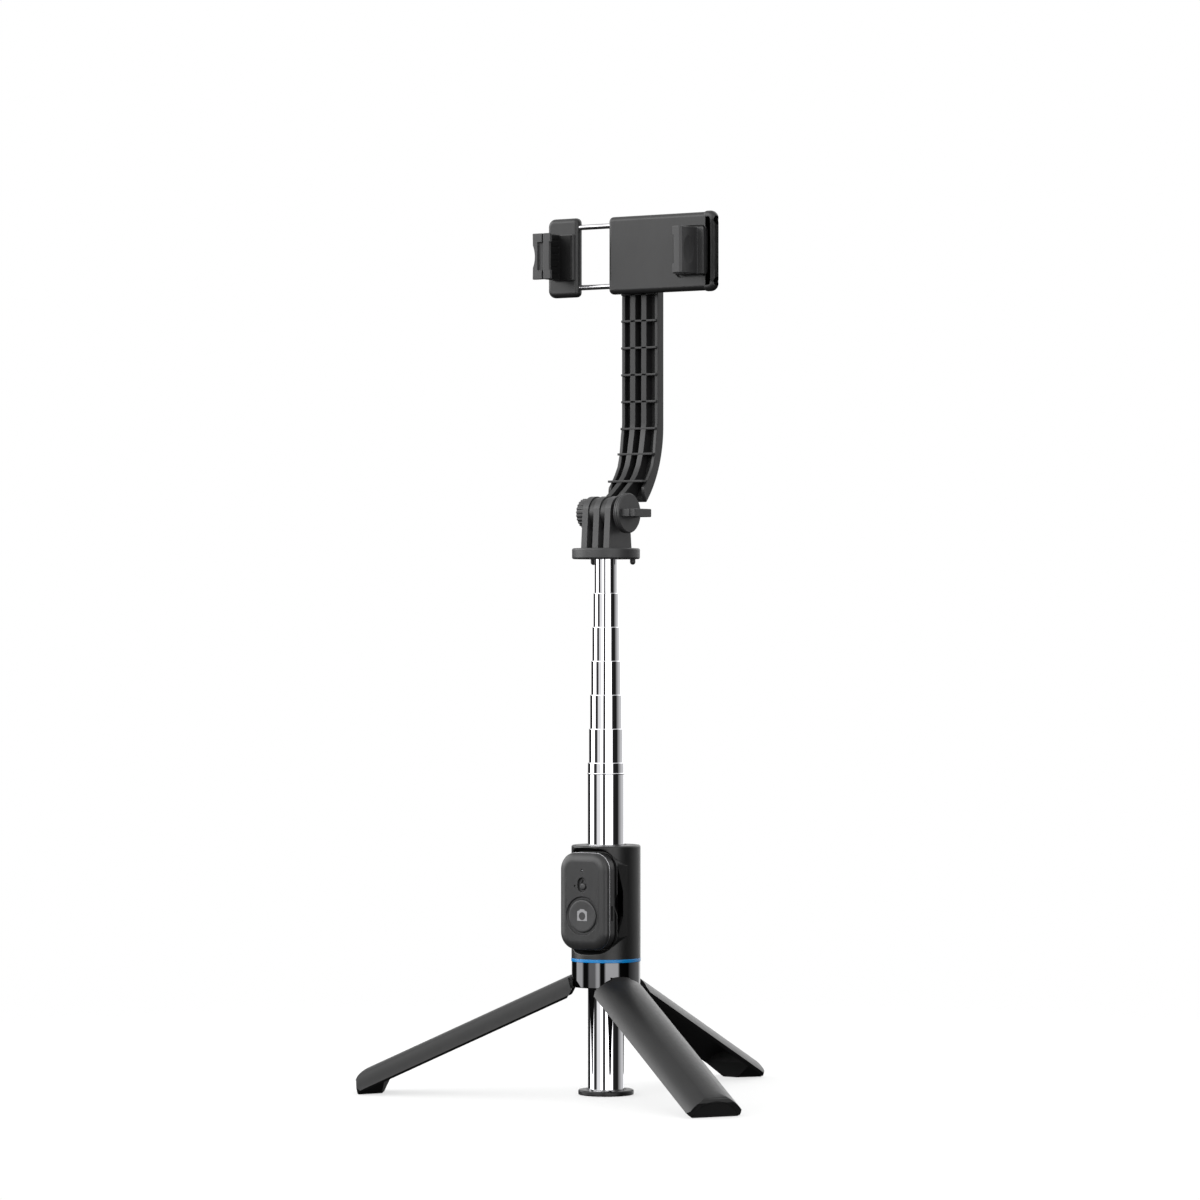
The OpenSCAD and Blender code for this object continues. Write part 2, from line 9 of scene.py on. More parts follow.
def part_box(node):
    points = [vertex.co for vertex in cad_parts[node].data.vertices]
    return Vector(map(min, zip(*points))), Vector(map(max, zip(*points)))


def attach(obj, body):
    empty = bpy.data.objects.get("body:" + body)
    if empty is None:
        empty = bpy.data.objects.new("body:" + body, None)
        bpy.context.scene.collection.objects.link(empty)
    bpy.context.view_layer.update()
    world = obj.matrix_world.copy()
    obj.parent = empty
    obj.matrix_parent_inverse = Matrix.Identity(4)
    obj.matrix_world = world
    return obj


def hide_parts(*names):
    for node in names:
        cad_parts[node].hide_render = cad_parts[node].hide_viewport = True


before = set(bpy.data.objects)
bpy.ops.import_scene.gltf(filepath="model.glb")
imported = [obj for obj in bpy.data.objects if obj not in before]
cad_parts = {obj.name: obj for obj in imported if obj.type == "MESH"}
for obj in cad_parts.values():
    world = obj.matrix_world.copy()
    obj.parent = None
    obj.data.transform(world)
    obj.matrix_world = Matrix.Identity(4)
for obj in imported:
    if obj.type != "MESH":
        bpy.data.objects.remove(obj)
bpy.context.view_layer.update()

MM = 0.001
TURN = 2 * math.pi
RUN = 0.06          # radial clearance of a running fit, in mm
LEG_AZIMUTHS = {"leg_a": -30, "leg_b": 90, "leg_c": 210}


def box_mm(node):
    """A CAD node's lowest and highest corners, in millimetres."""
    low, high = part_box(node)
    return low / MM, high / MM


# ---- where things are, from the frame ----

TUBES = [f"tube_{k}" for k in range(1, 8)]
TUBE_R = [round((box_mm(t)[1].y - box_mm(t)[0].y) / 2, 2) for t in TUBES]
TUBE_R[0] = TUBE_R[1] + 0.5      # the first tube's box takes in its bead
TUBE_WALL = 0.3
HANDLE_LOW, HANDLE_HIGH = box_mm("handle_shell")
HANDLE_R = HANDLE_HIGH.x
HUB_LOW, HUB_HIGH = box_mm("hub_collar")
HUB_R = HUB_HIGH.x
RING_LOW, RING_HIGH = box_mm("accent_ring")
HEAD_LOW, HEAD_HIGH = box_mm("head_mount")
PLATE_R = HEAD_HIGH.x
PEG_DROP = 2.5
PLATE_Z = HEAD_LOW.z + PEG_DROP
PLATE_H = 4.8
KNOB_LOW, KNOB_HIGH = box_mm("thumb_knob")
TILT_Z = (KNOB_LOW.z + KNOB_HIGH.z) / 2
ARM_LOW, ARM_HIGH = box_mm("tilt_arm")
ARM_W = ARM_HIGH.x - ARM_LOW.x
CLAMP_LOW, CLAMP_HIGH = box_mm("clamp_frame")
CLAMP_Z = (CLAMP_LOW.z + CLAMP_HIGH.z) / 2
FRAME_FRONT = CLAMP_LOW.y
FRAME_BACK = FRAME_FRONT + 5
SLIDE_LOW, SLIDE_HIGH = box_mm("sliding_frame")
PAD_THICK = 0.75
PHONE_HALF = box_mm("fixed_jaw_pad")[1].x - PAD_THICK
JAW_LOW, JAW_HIGH = box_mm("fixed_jaw")
JAW_H = JAW_HIGH.z - JAW_LOW.z
REMOTE_LOW, REMOTE_HIGH = box_mm("remote_front")
REMOTE_W = REMOTE_HIGH.x - REMOTE_LOW.x
REMOTE_H = REMOTE_HIGH.z - REMOTE_LOW.z
REMOTE_Z = (REMOTE_HIGH.z + REMOTE_LOW.z) / 2
REMOTE_FRONT = REMOTE_LOW.y
REMOTE_BACK = box_mm("remote_back")[1].y
SEAM_Y = REMOTE_HIGH.y + 0.15
REMOTE_CORNER = 7.5
BUTTON_LOW, BUTTON_HIGH = box_mm("shutter_button")
BUTTON_R = BUTTON_HIGH.x
BUTTON_Z = (BUTTON_LOW.z + BUTTON_HIGH.z) / 2
SWITCH_LOW, SWITCH_HIGH = box_mm("power_switch")
SWITCH_Z = (SWITCH_LOW.z + SWITCH_HIGH.z) / 2
SWITCH_RECESS_Z = SWITCH_Z + 0.7
LIGHT_LOW, LIGHT_HIGH = box_mm("status_light")
LIGHT_Z = (LIGHT_LOW.z + LIGHT_HIGH.z) / 2
POD_FACE = REMOTE_BACK + 0.3
LEG_PIN_AT = 12
LEG_PIN_Z = (box_mm("leg_pins")[0].z + box_mm("leg_pins")[1].z) / 2
LEG_SLOPE = 24.85
LEG_LENGTH = 109.2
LEG_WALL = 2
LEG_START = 3.7


# ---- outlines ----

def arc(cx, cy, radius, first, last, steps=12):
    """Points of an arc round (cx, cy), from one angle to another, in degrees."""
    return [(cx + radius * math.cos(math.radians(first + (last - first) * i / steps)),
             cy + radius * math.sin(math.radians(first + (last - first) * i / steps)))
            for i in range(steps + 1)]


def round_rect(width, height, radius, cx=0, cy=0, steps=10):
    """A rectangle with round corners."""
    x, y = width / 2 - radius, height / 2 - radius
    return (arc(cx + x, cy + y, radius, 0, 90, steps) + arc(cx - x, cy + y, radius, 90, 180, steps)
            + arc(cx - x, cy - y, radius, 180, 270, steps)
            + arc(cx + x, cy - y, radius, 270, 360, steps))


# ---- tools ----

AXES = {"X": Vector((1, 0, 0)), "Y": Vector((0, 1, 0)), "Z": Vector((0, 0, 1))}
PLANES = {"X": ("Y", "Z"), "Y": ("X", "Z"), "Z": ("X", "Y")}


def draw(name, points):
    """A new object with a chain of vertices along points, left in edit mode with all selected."""
    bpy.ops.object.select_all(action="DESELECT")
    bpy.ops.mesh.primitive_plane_add(size=MM)
    piece = bpy.context.object
    piece.name = piece.data.name = name
    bpy.ops.object.mode_set(mode="EDIT")
    bpy.ops.mesh.merge(type="CENTER")
    here = Vector(points[0])
    bpy.ops.transform.translate(value=here)
    for point in points[1:]:
        step = Vector(point) - here
        bpy.ops.mesh.extrude_vertices_move(TRANSFORM_OT_translate={"value": step})
        here = Vector(point)
    bpy.ops.mesh.select_all(action="SELECT")
    return piece


def leave(tidy=0.000001):
    """Merges doubles, turns faces outwards and leaves edit mode."""
    bpy.ops.mesh.select_all(action="SELECT")
    bpy.ops.mesh.remove_doubles(threshold=tidy)
    bpy.ops.mesh.normals_make_consistent(inside=False)
    bpy.ops.object.mode_set(mode="OBJECT")


def turned(name, profile, axis="Z", centre=(0, 0, 0), steps=96, closed=True):
    """A turned piece: profile is (radius, place along the axis) in mm."""
    along, out = AXES[axis], AXES[PLANES[axis][0]]
    middle = Vector(centre) * MM
    points = [middle + (out * r + along * h) * MM for r, h in profile]
    if closed:
        points.append(points[0])
    piece = draw(name, points)
    bpy.ops.mesh.spin(steps=steps, angle=TURN, use_auto_merge=True, center=middle, axis=along)
    leave()
    return piece


def pushed(name, outline, axis, low, high, centre=(0, 0, 0)):
    """A flat outline, in mm, pushed out along an axis from low to high."""
    first, second = (AXES[a] for a in PLANES[axis])
    middle = Vector(centre) * MM
    base = middle + AXES[axis] * low * MM
    points = [base + (first * a + second * b) * MM for a, b in outline]
    piece = draw(name, points)
    bpy.ops.mesh.edge_face_add()
    bpy.ops.mesh.extrude_region_move(
        TRANSFORM_OT_translate={"value": AXES[axis] * (high - low) * MM})
    leave()
    return piece


def alone(piece):
    """Leaves one piece selected."""
    bpy.ops.object.select_all(action="DESELECT")
    piece.select_set(True)
    bpy.context.view_layer.objects.active = piece


def apply(piece, kind, **settings):
    """Adds a modifier to a piece and applies it."""
    alone(piece)
    modifier = piece.modifiers.new(kind.lower(), kind)
    for key, value in settings.items():
        setattr(modifier, key, value)
    bpy.ops.object.modifier_apply(modifier=modifier.name)
    return piece


def combine(piece, other, how):
    apply(piece, "BOOLEAN", object=other, operation=how, solver="MANIFOLD")
    bpy.data.objects.remove(other)
    return piece


def cut(piece, *tools):
    for tool in tools:
        combine(piece, tool, "DIFFERENCE")
    return piece


def keep_inside(piece, tool):
    return combine(piece, tool, "INTERSECT")


def weld(piece, *others):
    """Joins closed shapes into one solid."""
    for other in others:
        combine(piece, other, "UNION")
    return piece


def join(name, *parts):
    """Puts closed shapes in one object without welding them."""
    alone(parts[0])
    for part in parts[1:]:
        part.select_set(True)
    bpy.ops.object.join()
    parts[0].name = parts[0].data.name = name
    return parts[0]


def soften(piece, width, segments=3, angle=32):
    """Rounds every edge sharper than angle by width, in mm."""
    return apply(piece, "BEVEL", width=width * MM, segments=segments, limit_method="ANGLE",
                 angle_limit=math.radians(angle), harden_normals=False)


def choose(piece, kind, chosen):
    """Leaves a piece in edit mode with only the faces, or sharp edges, that pass a test chosen.

    The test is given the middle of a face or edge in mm, and a face's normal.
    """
    alone(piece)
    bpy.ops.object.mode_set(mode="EDIT")
    bpy.ops.mesh.select_mode(type=kind)
    bpy.ops.mesh.select_all(action="DESELECT")
    if kind == "EDGE":
        bpy.ops.mesh.edges_select_sharp(sharpness=math.radians(32))
    bpy.ops.object.mode_set(mode="OBJECT")
    mesh = piece.data
    if kind == "EDGE":
        for edge in mesh.edges:
            a, b = (mesh.vertices[v].co / MM for v in edge.vertices)
            edge.select = edge.select and chosen((a + b) / 2, None)
    else:
        for face in mesh.polygons:
            face.select = chosen(face.center / MM, face.normal)
    bpy.ops.object.mode_set(mode="EDIT")


def soften_where(piece, width, chosen, segments=5):
    """Rounds only the sharp edges whose middle passes a test, given in mm."""
    choose(piece, "EDGE", lambda p, n: chosen(p))
    bpy.ops.mesh.bevel(offset=width * MM, segments=segments, affect="EDGES")
    bpy.ops.mesh.select_mode(type="VERT")
    leave()
    return piece


def moved(piece, matrix):
    """Moves or turns a shape and keeps that in its mesh."""
    alone(piece)
    piece.matrix_world = matrix
    bpy.ops.object.transform_apply(location=True, rotation=True, scale=True)
    return piece


def shift(x, y, z):
    return Matrix.Translation(Vector((x, y, z)) * MM)


def turn(piece, degrees, axis):
    """Turns a shape about an axis through the origin."""
    return moved(piece, Matrix.Rotation(math.radians(degrees), 4, axis))


def mirrored(piece):
    """Turns a right-hand shape into a left-hand one."""
    moved(piece, Matrix.Diagonal((-1, 1, 1, 1)))
    bpy.ops.object.mode_set(mode="EDIT")
    leave()
    return piece


def copy_of(piece, name):
    twin = piece.copy()
    twin.data = piece.data.copy()
    twin.name = twin.data.name = name
    bpy.context.scene.collection.objects.link(twin)
    return twin


def finished(piece, finish, body, node=None, angle=38):
    """Gives a piece its finish, shading and body, and hides the CAD node it stands for."""
    alone(piece)
    bpy.ops.object.shade_smooth_by_angle(angle=math.radians(angle))
    apply(piece, "WEIGHTED_NORMAL", keep_sharp=True, weight=60)
    piece.data.materials.clear()
    piece.data.materials.append(finish)
    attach(piece, body)
    if node:
        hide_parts(node)
    return piece


# ---- finishes ----

def new_finish(name):
    finish = bpy.data.materials.new(name)
    finish.use_nodes = True
    return finish, finish.node_tree.nodes, finish.node_tree.links


def surface_noise(nodes, links, scale, detail=3.0, stretch=(1, 1, 1)):
    """Noise over the piece's own coordinates, scale in bumps per metre."""
    place = nodes.new("ShaderNodeTexCoord")
    mapping = nodes.new("ShaderNodeMapping")
    mapping.inputs["Scale"].default_value = stretch
    noise = nodes.new("ShaderNodeTexNoise")
    noise.inputs["Scale"].default_value = scale
    noise.inputs["Detail"].default_value = detail
    links.new(place.outputs["Object"], mapping.inputs["Vector"])
    links.new(mapping.outputs["Vector"], noise.inputs["Vector"])
    return noise


def between(nodes, links, source, low, high, start=0.3, end=0.7):
    """Maps a noise's range to values between low and high."""
    spread = nodes.new("ShaderNodeMapRange")
    spread.inputs["From Min"].default_value = start
    spread.inputs["From Max"].default_value = end
    spread.inputs["To Min"].default_value = low
    spread.inputs["To Max"].default_value = high
    links.new(source, spread.inputs["Value"])
    return spread.outputs["Result"]


def tinted(nodes, links, source, dark, light):
    """A colour that drifts between two shades."""
    ramp = nodes.new("ShaderNodeValToRGB")
    ramp.color_ramp.elements[0].position = 0.35
    ramp.color_ramp.elements[1].position = 0.65
    ramp.color_ramp.elements[0].color = (*dark, 1)
    ramp.color_ramp.elements[1].color = (*light, 1)
    links.new(source, ramp.inputs["Fac"])
    return ramp.outputs["Color"]


def bumps(nodes, links, source, depth):
    """A bump of a depth in millimetres."""
    bump = nodes.new("ShaderNodeBump")
    bump.inputs["Distance"].default_value = depth * MM
    bump.inputs["Strength"].default_value = 1.0
    links.new(source, bump.inputs["Height"])
    return bump.outputs["Normal"]


def moulded_plastic(name, dark, light, rough=(0.36, 0.44), grain=0.004, grain_scale=4200,
                    specular=0.5):
    """Satin moulded plastic: fine spark grain, faint flow marks and a little rub wear."""
    finish, nodes, links = new_finish(name)
    shader = nodes["Principled BSDF"]
    flow = surface_noise(nodes, links, 90, 2.0, (1, 1, 0.35))
    spark = surface_noise(nodes, links, grain_scale, 1.5)
    rub = surface_noise(nodes, links, 700, 4.0, (1, 1, 0.25))
    links.new(tinted(nodes, links, flow.outputs["Fac"], dark, light), shader.inputs["Base Color"])
    links.new(between(nodes, links, rub.outputs["Fac"], *rough), shader.inputs["Roughness"])
    links.new(bumps(nodes, links, spark.outputs["Fac"], grain), shader.inputs["Normal"])
    shader.inputs["Specular IOR Level"].default_value = specular
    return finish


def plated_metal(name, dark, light, rough=(0.03, 0.06), brush=(1, 1, 0.02), brush_scale=2500,
                 depth=0.0002):
    """Plated or polished metal with hair lines along the stretch of its brush marks."""
    finish, nodes, links = new_finish(name)
    shader = nodes["Principled BSDF"]
    hair = surface_noise(nodes, links, brush_scale, 2.0, brush)
    haze = surface_noise(nodes, links, 60, 2.0)
    links.new(tinted(nodes, links, haze.outputs["Fac"], dark, light), shader.inputs["Base Color"])
    links.new(between(nodes, links, hair.outputs["Fac"], *rough), shader.inputs["Roughness"])
    links.new(bumps(nodes, links, hair.outputs["Fac"], depth), shader.inputs["Normal"])
    shader.inputs["Metallic"].default_value = 1.0
    return finish


def gloss_lacquer(name, dark, light, rough=(0.05, 0.09), coat=1.0):
    """Glossy coloured plastic under a clear coat, with faint orange peel."""
    finish, nodes, links = new_finish(name)
    shader = nodes["Principled BSDF"]
    peel = surface_noise(nodes, links, 420, 2.0)
    dust = surface_noise(nodes, links, 2600, 2.0)
    links.new(tinted(nodes, links, peel.outputs["Fac"], dark, light), shader.inputs["Base Color"])
    links.new(between(nodes, links, dust.outputs["Fac"], *rough), shader.inputs["Roughness"])
    links.new(bumps(nodes, links, peel.outputs["Fac"], 0.0006), shader.inputs["Normal"])
    shader.inputs["Coat Weight"].default_value = coat
    return finish


def grey(value, warmth=0.0):
    return (value * (1 + warmth), value, value * (1 - warmth * 0.5) + value * 0.03)


BLACK_PLASTIC = moulded_plastic("satin_black_plastic", grey(0.006), grey(0.008), (0.33, 0.40))
GREY_PLASTIC = moulded_plastic("satin_grey_plastic", grey(0.034), grey(0.040), (0.38, 0.46))
ARM_PLASTIC = moulded_plastic("arm_black_plastic", grey(0.013), grey(0.016), (0.36, 0.44))
REMOTE_PLASTIC = moulded_plastic("remote_plastic", grey(0.019), grey(0.023), (0.34, 0.42), 0.003)
BUTTON_PLASTIC = moulded_plastic("button_plastic", grey(0.030), grey(0.036), (0.36, 0.44), 0.003)
HUB_CHROME = plated_metal("black_chrome", grey(0.105), grey(0.115), (0.02, 0.05), (1, 1, 1), 900,
                          0.0001)
BLUE_RING = gloss_lacquer("blue_ring", (0.0, 0.19, 0.50), (0.0, 0.20, 0.52), (0.28, 0.34), 0.0)
POLE_CHROME = plated_metal("pole_chrome", grey(0.86), grey(0.90), (0.015, 0.035))
STEEL = plated_metal("zinc_plated_steel", grey(0.55, 0.01), grey(0.66, 0.01), (0.22, 0.28),
                     (1, 1, 1), 1800, 0.0003)
TRIM = plated_metal("satin_silver_trim", grey(0.52), grey(0.60), (0.25, 0.35), (1, 1, 1), 1500)
RUBBER = moulded_plastic("foot_rubber", grey(0.004), grey(0.006), (0.50, 0.62), 0.008, 2600, 0.3)
ACETAL = moulded_plastic("white_acetal", (0.70, 0.70, 0.67), (0.78, 0.78, 0.75), (0.35, 0.45))
DARK_ACETAL = moulded_plastic("dark_acetal", grey(0.05), grey(0.06))
PRINT = moulded_plastic("printed_grey", grey(0.27), grey(0.30), (0.45, 0.55))
LENS = gloss_lacquer("light_lens", (0.05, 0.05, 0.055), (0.07, 0.07, 0.075), (0.08, 0.14))
BOARD = gloss_lacquer("solder_mask", (0.01, 0.10, 0.04), (0.02, 0.14, 0.06), (0.15, 0.25), 0.3)
BRASS = plated_metal("bright_brass", (0.60, 0.42, 0.16), (0.72, 0.52, 0.22), (0.12, 0.22),
                     (1, 1, 1), 1500)


# ---- pole ----

def make_tube(number):
    """One chrome tube, turned in at its mouth round the next one."""
    node = TUBES[number - 1]
    low, high = box_mm(node)
    outer = TUBE_R[number - 1]
    inner = outer - TUBE_WALL
    top = high.z
    if number < len(TUBES):
        mouth = outer - 0.5 + RUN
        end = (arc(outer - 0.35, top - 0.35, 0.35, 0, 90, 6)
               + [(mouth, top), (mouth, top - 1.2), (inner, top - 1.5)])
    else:
        end = [(outer, top), (inner, top)]
    bead = arc(outer - 0.15, top - 4.9, 0.4, -60, 60, 8) if number == 1 else []
    profile = [(inner, low.z), (outer, low.z)] + bead + end
    tube = turned(f"chrome_{node}", profile, steps=128)
    body = "pole" if number == 1 else "top_section" if number == 7 else f"section_{number}"
    return finished(tube, POLE_CHROME, body, node)


def make_base_disc():
    low, high = box_mm("base_disc")
    rim, top = high.x, 2.2
    profile = ([(0, 0)] + arc(rim - 0.5, 0.5, 0.5, -90, 0, 6) + arc(rim - 0.6, top - 0.6, 0.6, 0, 90, 6)
               + [(rim - 3.2, top), (rim - 3.5, top - 0.25), (8.6, top - 0.25), (8.3, top), (7.7, top),
                  (7.7, high.z), (0, high.z)])
    disc = turned("base_disc_moulding", profile, closed=False)
    return finished(disc, BLACK_PLASTIC, "pole", "base_disc")


# ---- handle ----

DOCK_EDGE = REMOTE_W / 2 + 0.7      # half of the dock's flat face
FLANK_FOOT = (14.6, -4.5)           # where the dock's flank meets the round of the handle
BORE_R = 13
MOUTH_R = 8.8                       # the top bush looks out of the mouth
SCALLOP_R, SCALLOP_X, SCALLOP_Z, SCALLOP_BACK = 7.25, 19.15, 84.7, -7.3
PEG_X, PEG_Y, PEG_R, PEG_HOLE_R = 10.6, 5.4, 1.2, 1.5


def dock_slab(name, margin, y_near, y_far, wider, taller):
    """A block with the remote's outline and a margin round it, drawn out at its far end."""
    width, height = REMOTE_W + 2 * margin, REMOTE_H + 2 * margin
    outline = round_rect(width, height, REMOTE_CORNER + margin, 0, REMOTE_Z, 14)
    slab = pushed(name, outline, "Y", y_near, y_far)
    choose(slab, "FACE", lambda p, n: abs(n.y) > 0.9 and abs(p.y - y_far) < 0.01)
    bpy.ops.transform.resize(value=(1 + 2 * wider / width, 1, 1 + 2 * taller / height),
                             center_override=(0, y_far * MM, REMOTE_Z * MM))
    bpy.ops.mesh.select_mode(type="VERT")
    leave()
    return slab


def make_dock_block():
    """The block that carries the remote, its flanks running back into the round of the handle."""
    foot_x, foot_y = FLANK_FOOT
    plan = [(-DOCK_EDGE, POD_FACE), (DOCK_EDGE, POD_FACE), (foot_x, foot_y), (BORE_R + 0.5, 0),
            (-BORE_R - 0.5, 0), (-foot_x, foot_y)]
    block = pushed("dock_block", plan, "Z", REMOTE_LOW.z - 2.6, HANDLE_HIGH.z - 0.9)
    return keep_inside(block, dock_slab("dock_outline", 0.9, POD_FACE, 0.5, 4, -5))


def make_handle_bore():
    """The room inside the handle: round, but flat behind the remote."""
    top = HANDLE_HIGH.z
    ceiling, flat_from, flat_at = top - 4.2, 62.3, POD_FACE + 1.8
    room = turned("handle_room", [(0, 50), (BORE_R, 50), (BORE_R, ceiling), (0, ceiling)],
                  closed=False)
    flat_side = [(-20, -20), (20, -20), (20, flat_at), (-20, flat_at)]
    cut(room, pushed("flat_side", flat_side, "Z", flat_from, top))
    mouth = turned("handle_mouth", [(0, top - 5), (MOUTH_R, top - 5), (MOUTH_R, top - 0.5),
                                    (MOUTH_R + 0.6, top + 0.1), (0, top + 0.1)], closed=False)
    return room, mouth


def make_handle():
    """The tubular handle, its front drawn out into the remote's dock."""
    bottom, top = HANDLE_LOW.z, HANDLE_HIGH.z
    profile = ([(0, bottom), (HANDLE_R, bottom)] + arc(HANDLE_R - 0.9, top - 0.9, 0.9, 0, 90, 6)
               + [(0, top)])
    handle = turned("handle_moulding", profile, steps=192, closed=False)
    weld(handle, make_dock_block())
    cut(handle, dock_slab("dock_room", 0.7, POD_FACE, -20, 3.2, 3.2))
    scallop = [(0, -12), (SCALLOP_R, -12), (SCALLOP_R, SCALLOP_BACK), (0, SCALLOP_BACK)]
    hole = [(0, top - 3), (PEG_HOLE_R, top - 3), (PEG_HOLE_R, top + 1), (0, top + 1)]
    for side in (-1, 1):
        cut(handle, turned("thumb_scallop", scallop, "Y", (side * SCALLOP_X, 0, SCALLOP_Z), 96, False))
        cut(handle, turned("peg_hole", hole, centre=(side * PEG_X, PEG_Y, 0), steps=32, closed=False))
    soften_where(handle, 0.3, lambda p: p.y < FLANK_FOOT[1] - 0.1 and bottom + 0.5 < p.z < top - 1, 3)
    cut(handle, *make_handle_bore())
    return finished(handle, BLACK_PLASTIC, "handle", "handle_shell")


def make_accent_ring():
    low, high, r, edge, bore = RING_LOW.z, RING_HIGH.z, RING_HIGH.x, 0.25, BORE_R + 0.2
    profile = ([(bore, low)] + arc(r - edge, low + edge, edge, -90, 0, 5)
               + arc(r - edge, high - edge, edge, 0, 90, 5) + [(bore, high)])
    return finished(turned("blue_accent_ring", profile, steps=128), BLUE_RING, "handle", "accent_ring")


def make_hub():
    """The polished hub: a collar with three slots, and hollows where the legs' ends swing."""
    low, high = HUB_LOW.z, RING_LOW.z
    bore, spigot = 9.3, 13.15
    profile = [(bore, low), (HUB_R - 0.3, low), (HUB_R, low + 0.3), (HUB_R, high),
               (spigot, high), (spigot, high + 3.2), (bore, high + 3.2)]
    hub = turned("hub_polished", profile, steps=144)
    slot_outline = [(-2.7, -6), (-2.7, 2.6), (0, 3.2), (HUB_R - LEG_PIN_AT, 1.4), (6, -0.2), (6, -6)]
    swing = [(6, 0.001), (6, -6), (0, -6)] + arc(0, 0, 3.4, -90, 0, 12)
    for azimuth in LEG_AZIMUTHS.values():
        for outline, half in ((slot_outline, 4.6), (swing, 9)):
            tool = pushed("hub_tool", outline, "Y", -half, half, centre=(LEG_PIN_AT, 0, LEG_PIN_Z))
            cut(hub, turn(tool, azimuth, "Z"))
    return finished(hub, HUB_CHROME, "handle", "hub_collar", angle=30)


# ---- legs ----

LEG_GAP = 0.26          # half of the gap between two folded legs
LEG_WIDTH, TIP_CORNER = 26.6, 4.5
LUG_R, LUG_HALF = 2.4, 4.3
PIN_BORE_R = 1.06
FOOT_PLAY = 0.3


def leg_section(outer, inner=None):
    """A third of a tube seen along the leg: (up from the pin's line, across)."""
    spread = 60 - math.degrees(LEG_GAP / outer)
    rim = arc(-LEG_PIN_AT, 0, outer, -spread, spread, 40)
    if inner is None:
        return rim + [(-LEG_PIN_AT + 0.3, 0)]
    spread_in = 60 - math.degrees(LEG_GAP / inner)
    return rim + arc(-LEG_PIN_AT, 0, inner, spread_in, -spread_in, 40)


def circle_section(radius):
    return arc(-LEG_PIN_AT, 0, radius, 0, 360, 144)[:-1]


def leg_side(shrink=0.0):
    """The leg from the side: (along it, up from the pin's line)."""
    crown = HANDLE_R - LEG_PIN_AT
    nose = LEG_LENGTH - 7.6 - shrink
    return ([(LEG_START, -13), (LEG_START, crown + 1), (nose, crown + 1)]
            + [(nose + 6.4 * math.cos(math.radians(a)), crown - 3.2 + 3.2 * math.sin(math.radians(a)))
               for a in range(90, 9, -8)]
            + [(LEG_LENGTH - 1.4 - shrink, 0.3), (LEG_LENGTH - shrink, -5),
               (LEG_LENGTH + 0.7 - shrink, -13)])


def along_leg(name, section, first, last):
    """A section pushed along the leg, which lies along X with the pin at the origin."""
    return pushed(name, [(across, up) for up, across in section], "X", first, last)


def tip_plan(shrink=0.0):
    """A leg seen from above, with the round corners of its tip."""
    return round_rect(2 * (LEG_LENGTH + 0.7 - shrink), LEG_WIDTH - 2 * shrink, TIP_CORNER - shrink)


def make_leg_shape():
    """A leg's shell and hinge lug, with the pin at the origin and the leg along X."""
    shell = along_leg("leg_shell", leg_section(HANDLE_R, HANDLE_R - LEG_WALL), LEG_START,
                      LEG_LENGTH + 2)
    keep_inside(shell, pushed("leg_side", leg_side(), "Y", -20, 20))
    keep_inside(shell, pushed("leg_plan", tip_plan(), "Z", -20, 20))
    heel = [(0, -2.6), (LEG_START, -2.6), (LEG_START + 4.4, -6), (0, -6)]
    cut(shell, pushed("leg_heel", heel, "Y", -20, 20))
    lug_side = (arc(0, 0, LUG_R, 90, 270, 16)
                + [(11, -LUG_R), (15, 2), (15, 4), (LUG_R, 4), (LUG_R, 1)])
    lug = pushed("leg_lug", lug_side, "Y", -LUG_HALF, LUG_HALF)
    keep_inside(lug, along_leg("lug_round", circle_section(HANDLE_R), -4, 16))
    weld(shell, lug)
    cut(shell, turned("pin_bore", [(0, -10), (PIN_BORE_R, -10), (PIN_BORE_R, 10), (0, 10)], "Y",
                      steps=32, closed=False))
    soften(shell, 0.35, 3, 40)
    return shell


def make_foot_shape():
    """The rubber foot that fills a leg's open end, as it lies in the leg."""
    inside = HANDLE_R - LEG_WALL - 0.02
    foot = along_leg("foot", leg_section(inside), 90, LEG_LENGTH + 2)
    keep_inside(foot, pushed("foot_side", leg_side(FOOT_PLAY), "Y", -20, 20))
    keep_inside(foot, pushed("foot_plan", tip_plan(FOOT_PLAY), "Z", -20, 20))
    wedge = [(95, 6), (95, -4), (101, -10), (112, -10), (112, 6)]
    keep_inside(foot, pushed("foot_wedge", wedge, "Y", -20, 20))
    return foot


def open_leg(piece, azimuth):
    """Puts a piece made along X, with the pin at the origin, in an open leg's place."""
    turn(piece, LEG_SLOPE, "Y")
    moved(piece, shift(LEG_PIN_AT, 0, LEG_PIN_Z))
    return turn(piece, azimuth, "Z")


def make_legs():
    leg_shape = make_leg_shape()
    foot_shape = make_foot_shape()
    for leg, azimuth in LEG_AZIMUTHS.items():
        foot = leg.replace("leg", "foot")
        shell = open_leg(copy_of(leg_shape, f"{leg}_moulding"), azimuth)
        finished(shell, BLACK_PLASTIC, leg, leg, angle=32)
        pad = open_leg(copy_of(foot_shape, f"{foot}_rubber"), azimuth)
        room = pushed("above_floor", round_rect(300, 300, 1), "Z", 0, 100)
        keep_inside(pad, room)
        soften(pad, 0.25, 2, 40)
        finished(pad, RUBBER, leg, foot, angle=32)
    bpy.data.objects.remove(leg_shape)
    bpy.data.objects.remove(foot_shape)


# ---- head ----

BOLT_BORE_R = 2.5
PRONG_W = 3
PRONGS_X = (-7.5, -1.5, 4.5)        # the near side of each prong


def bolt_bore():
    """The hole along the tilt axis."""
    return turned("bolt_bore", [(0, -10), (BOLT_BORE_R, -10), (BOLT_BORE_R, 10), (0, 10)], "X",
                  (0, 0, TILT_Z), 48, False)


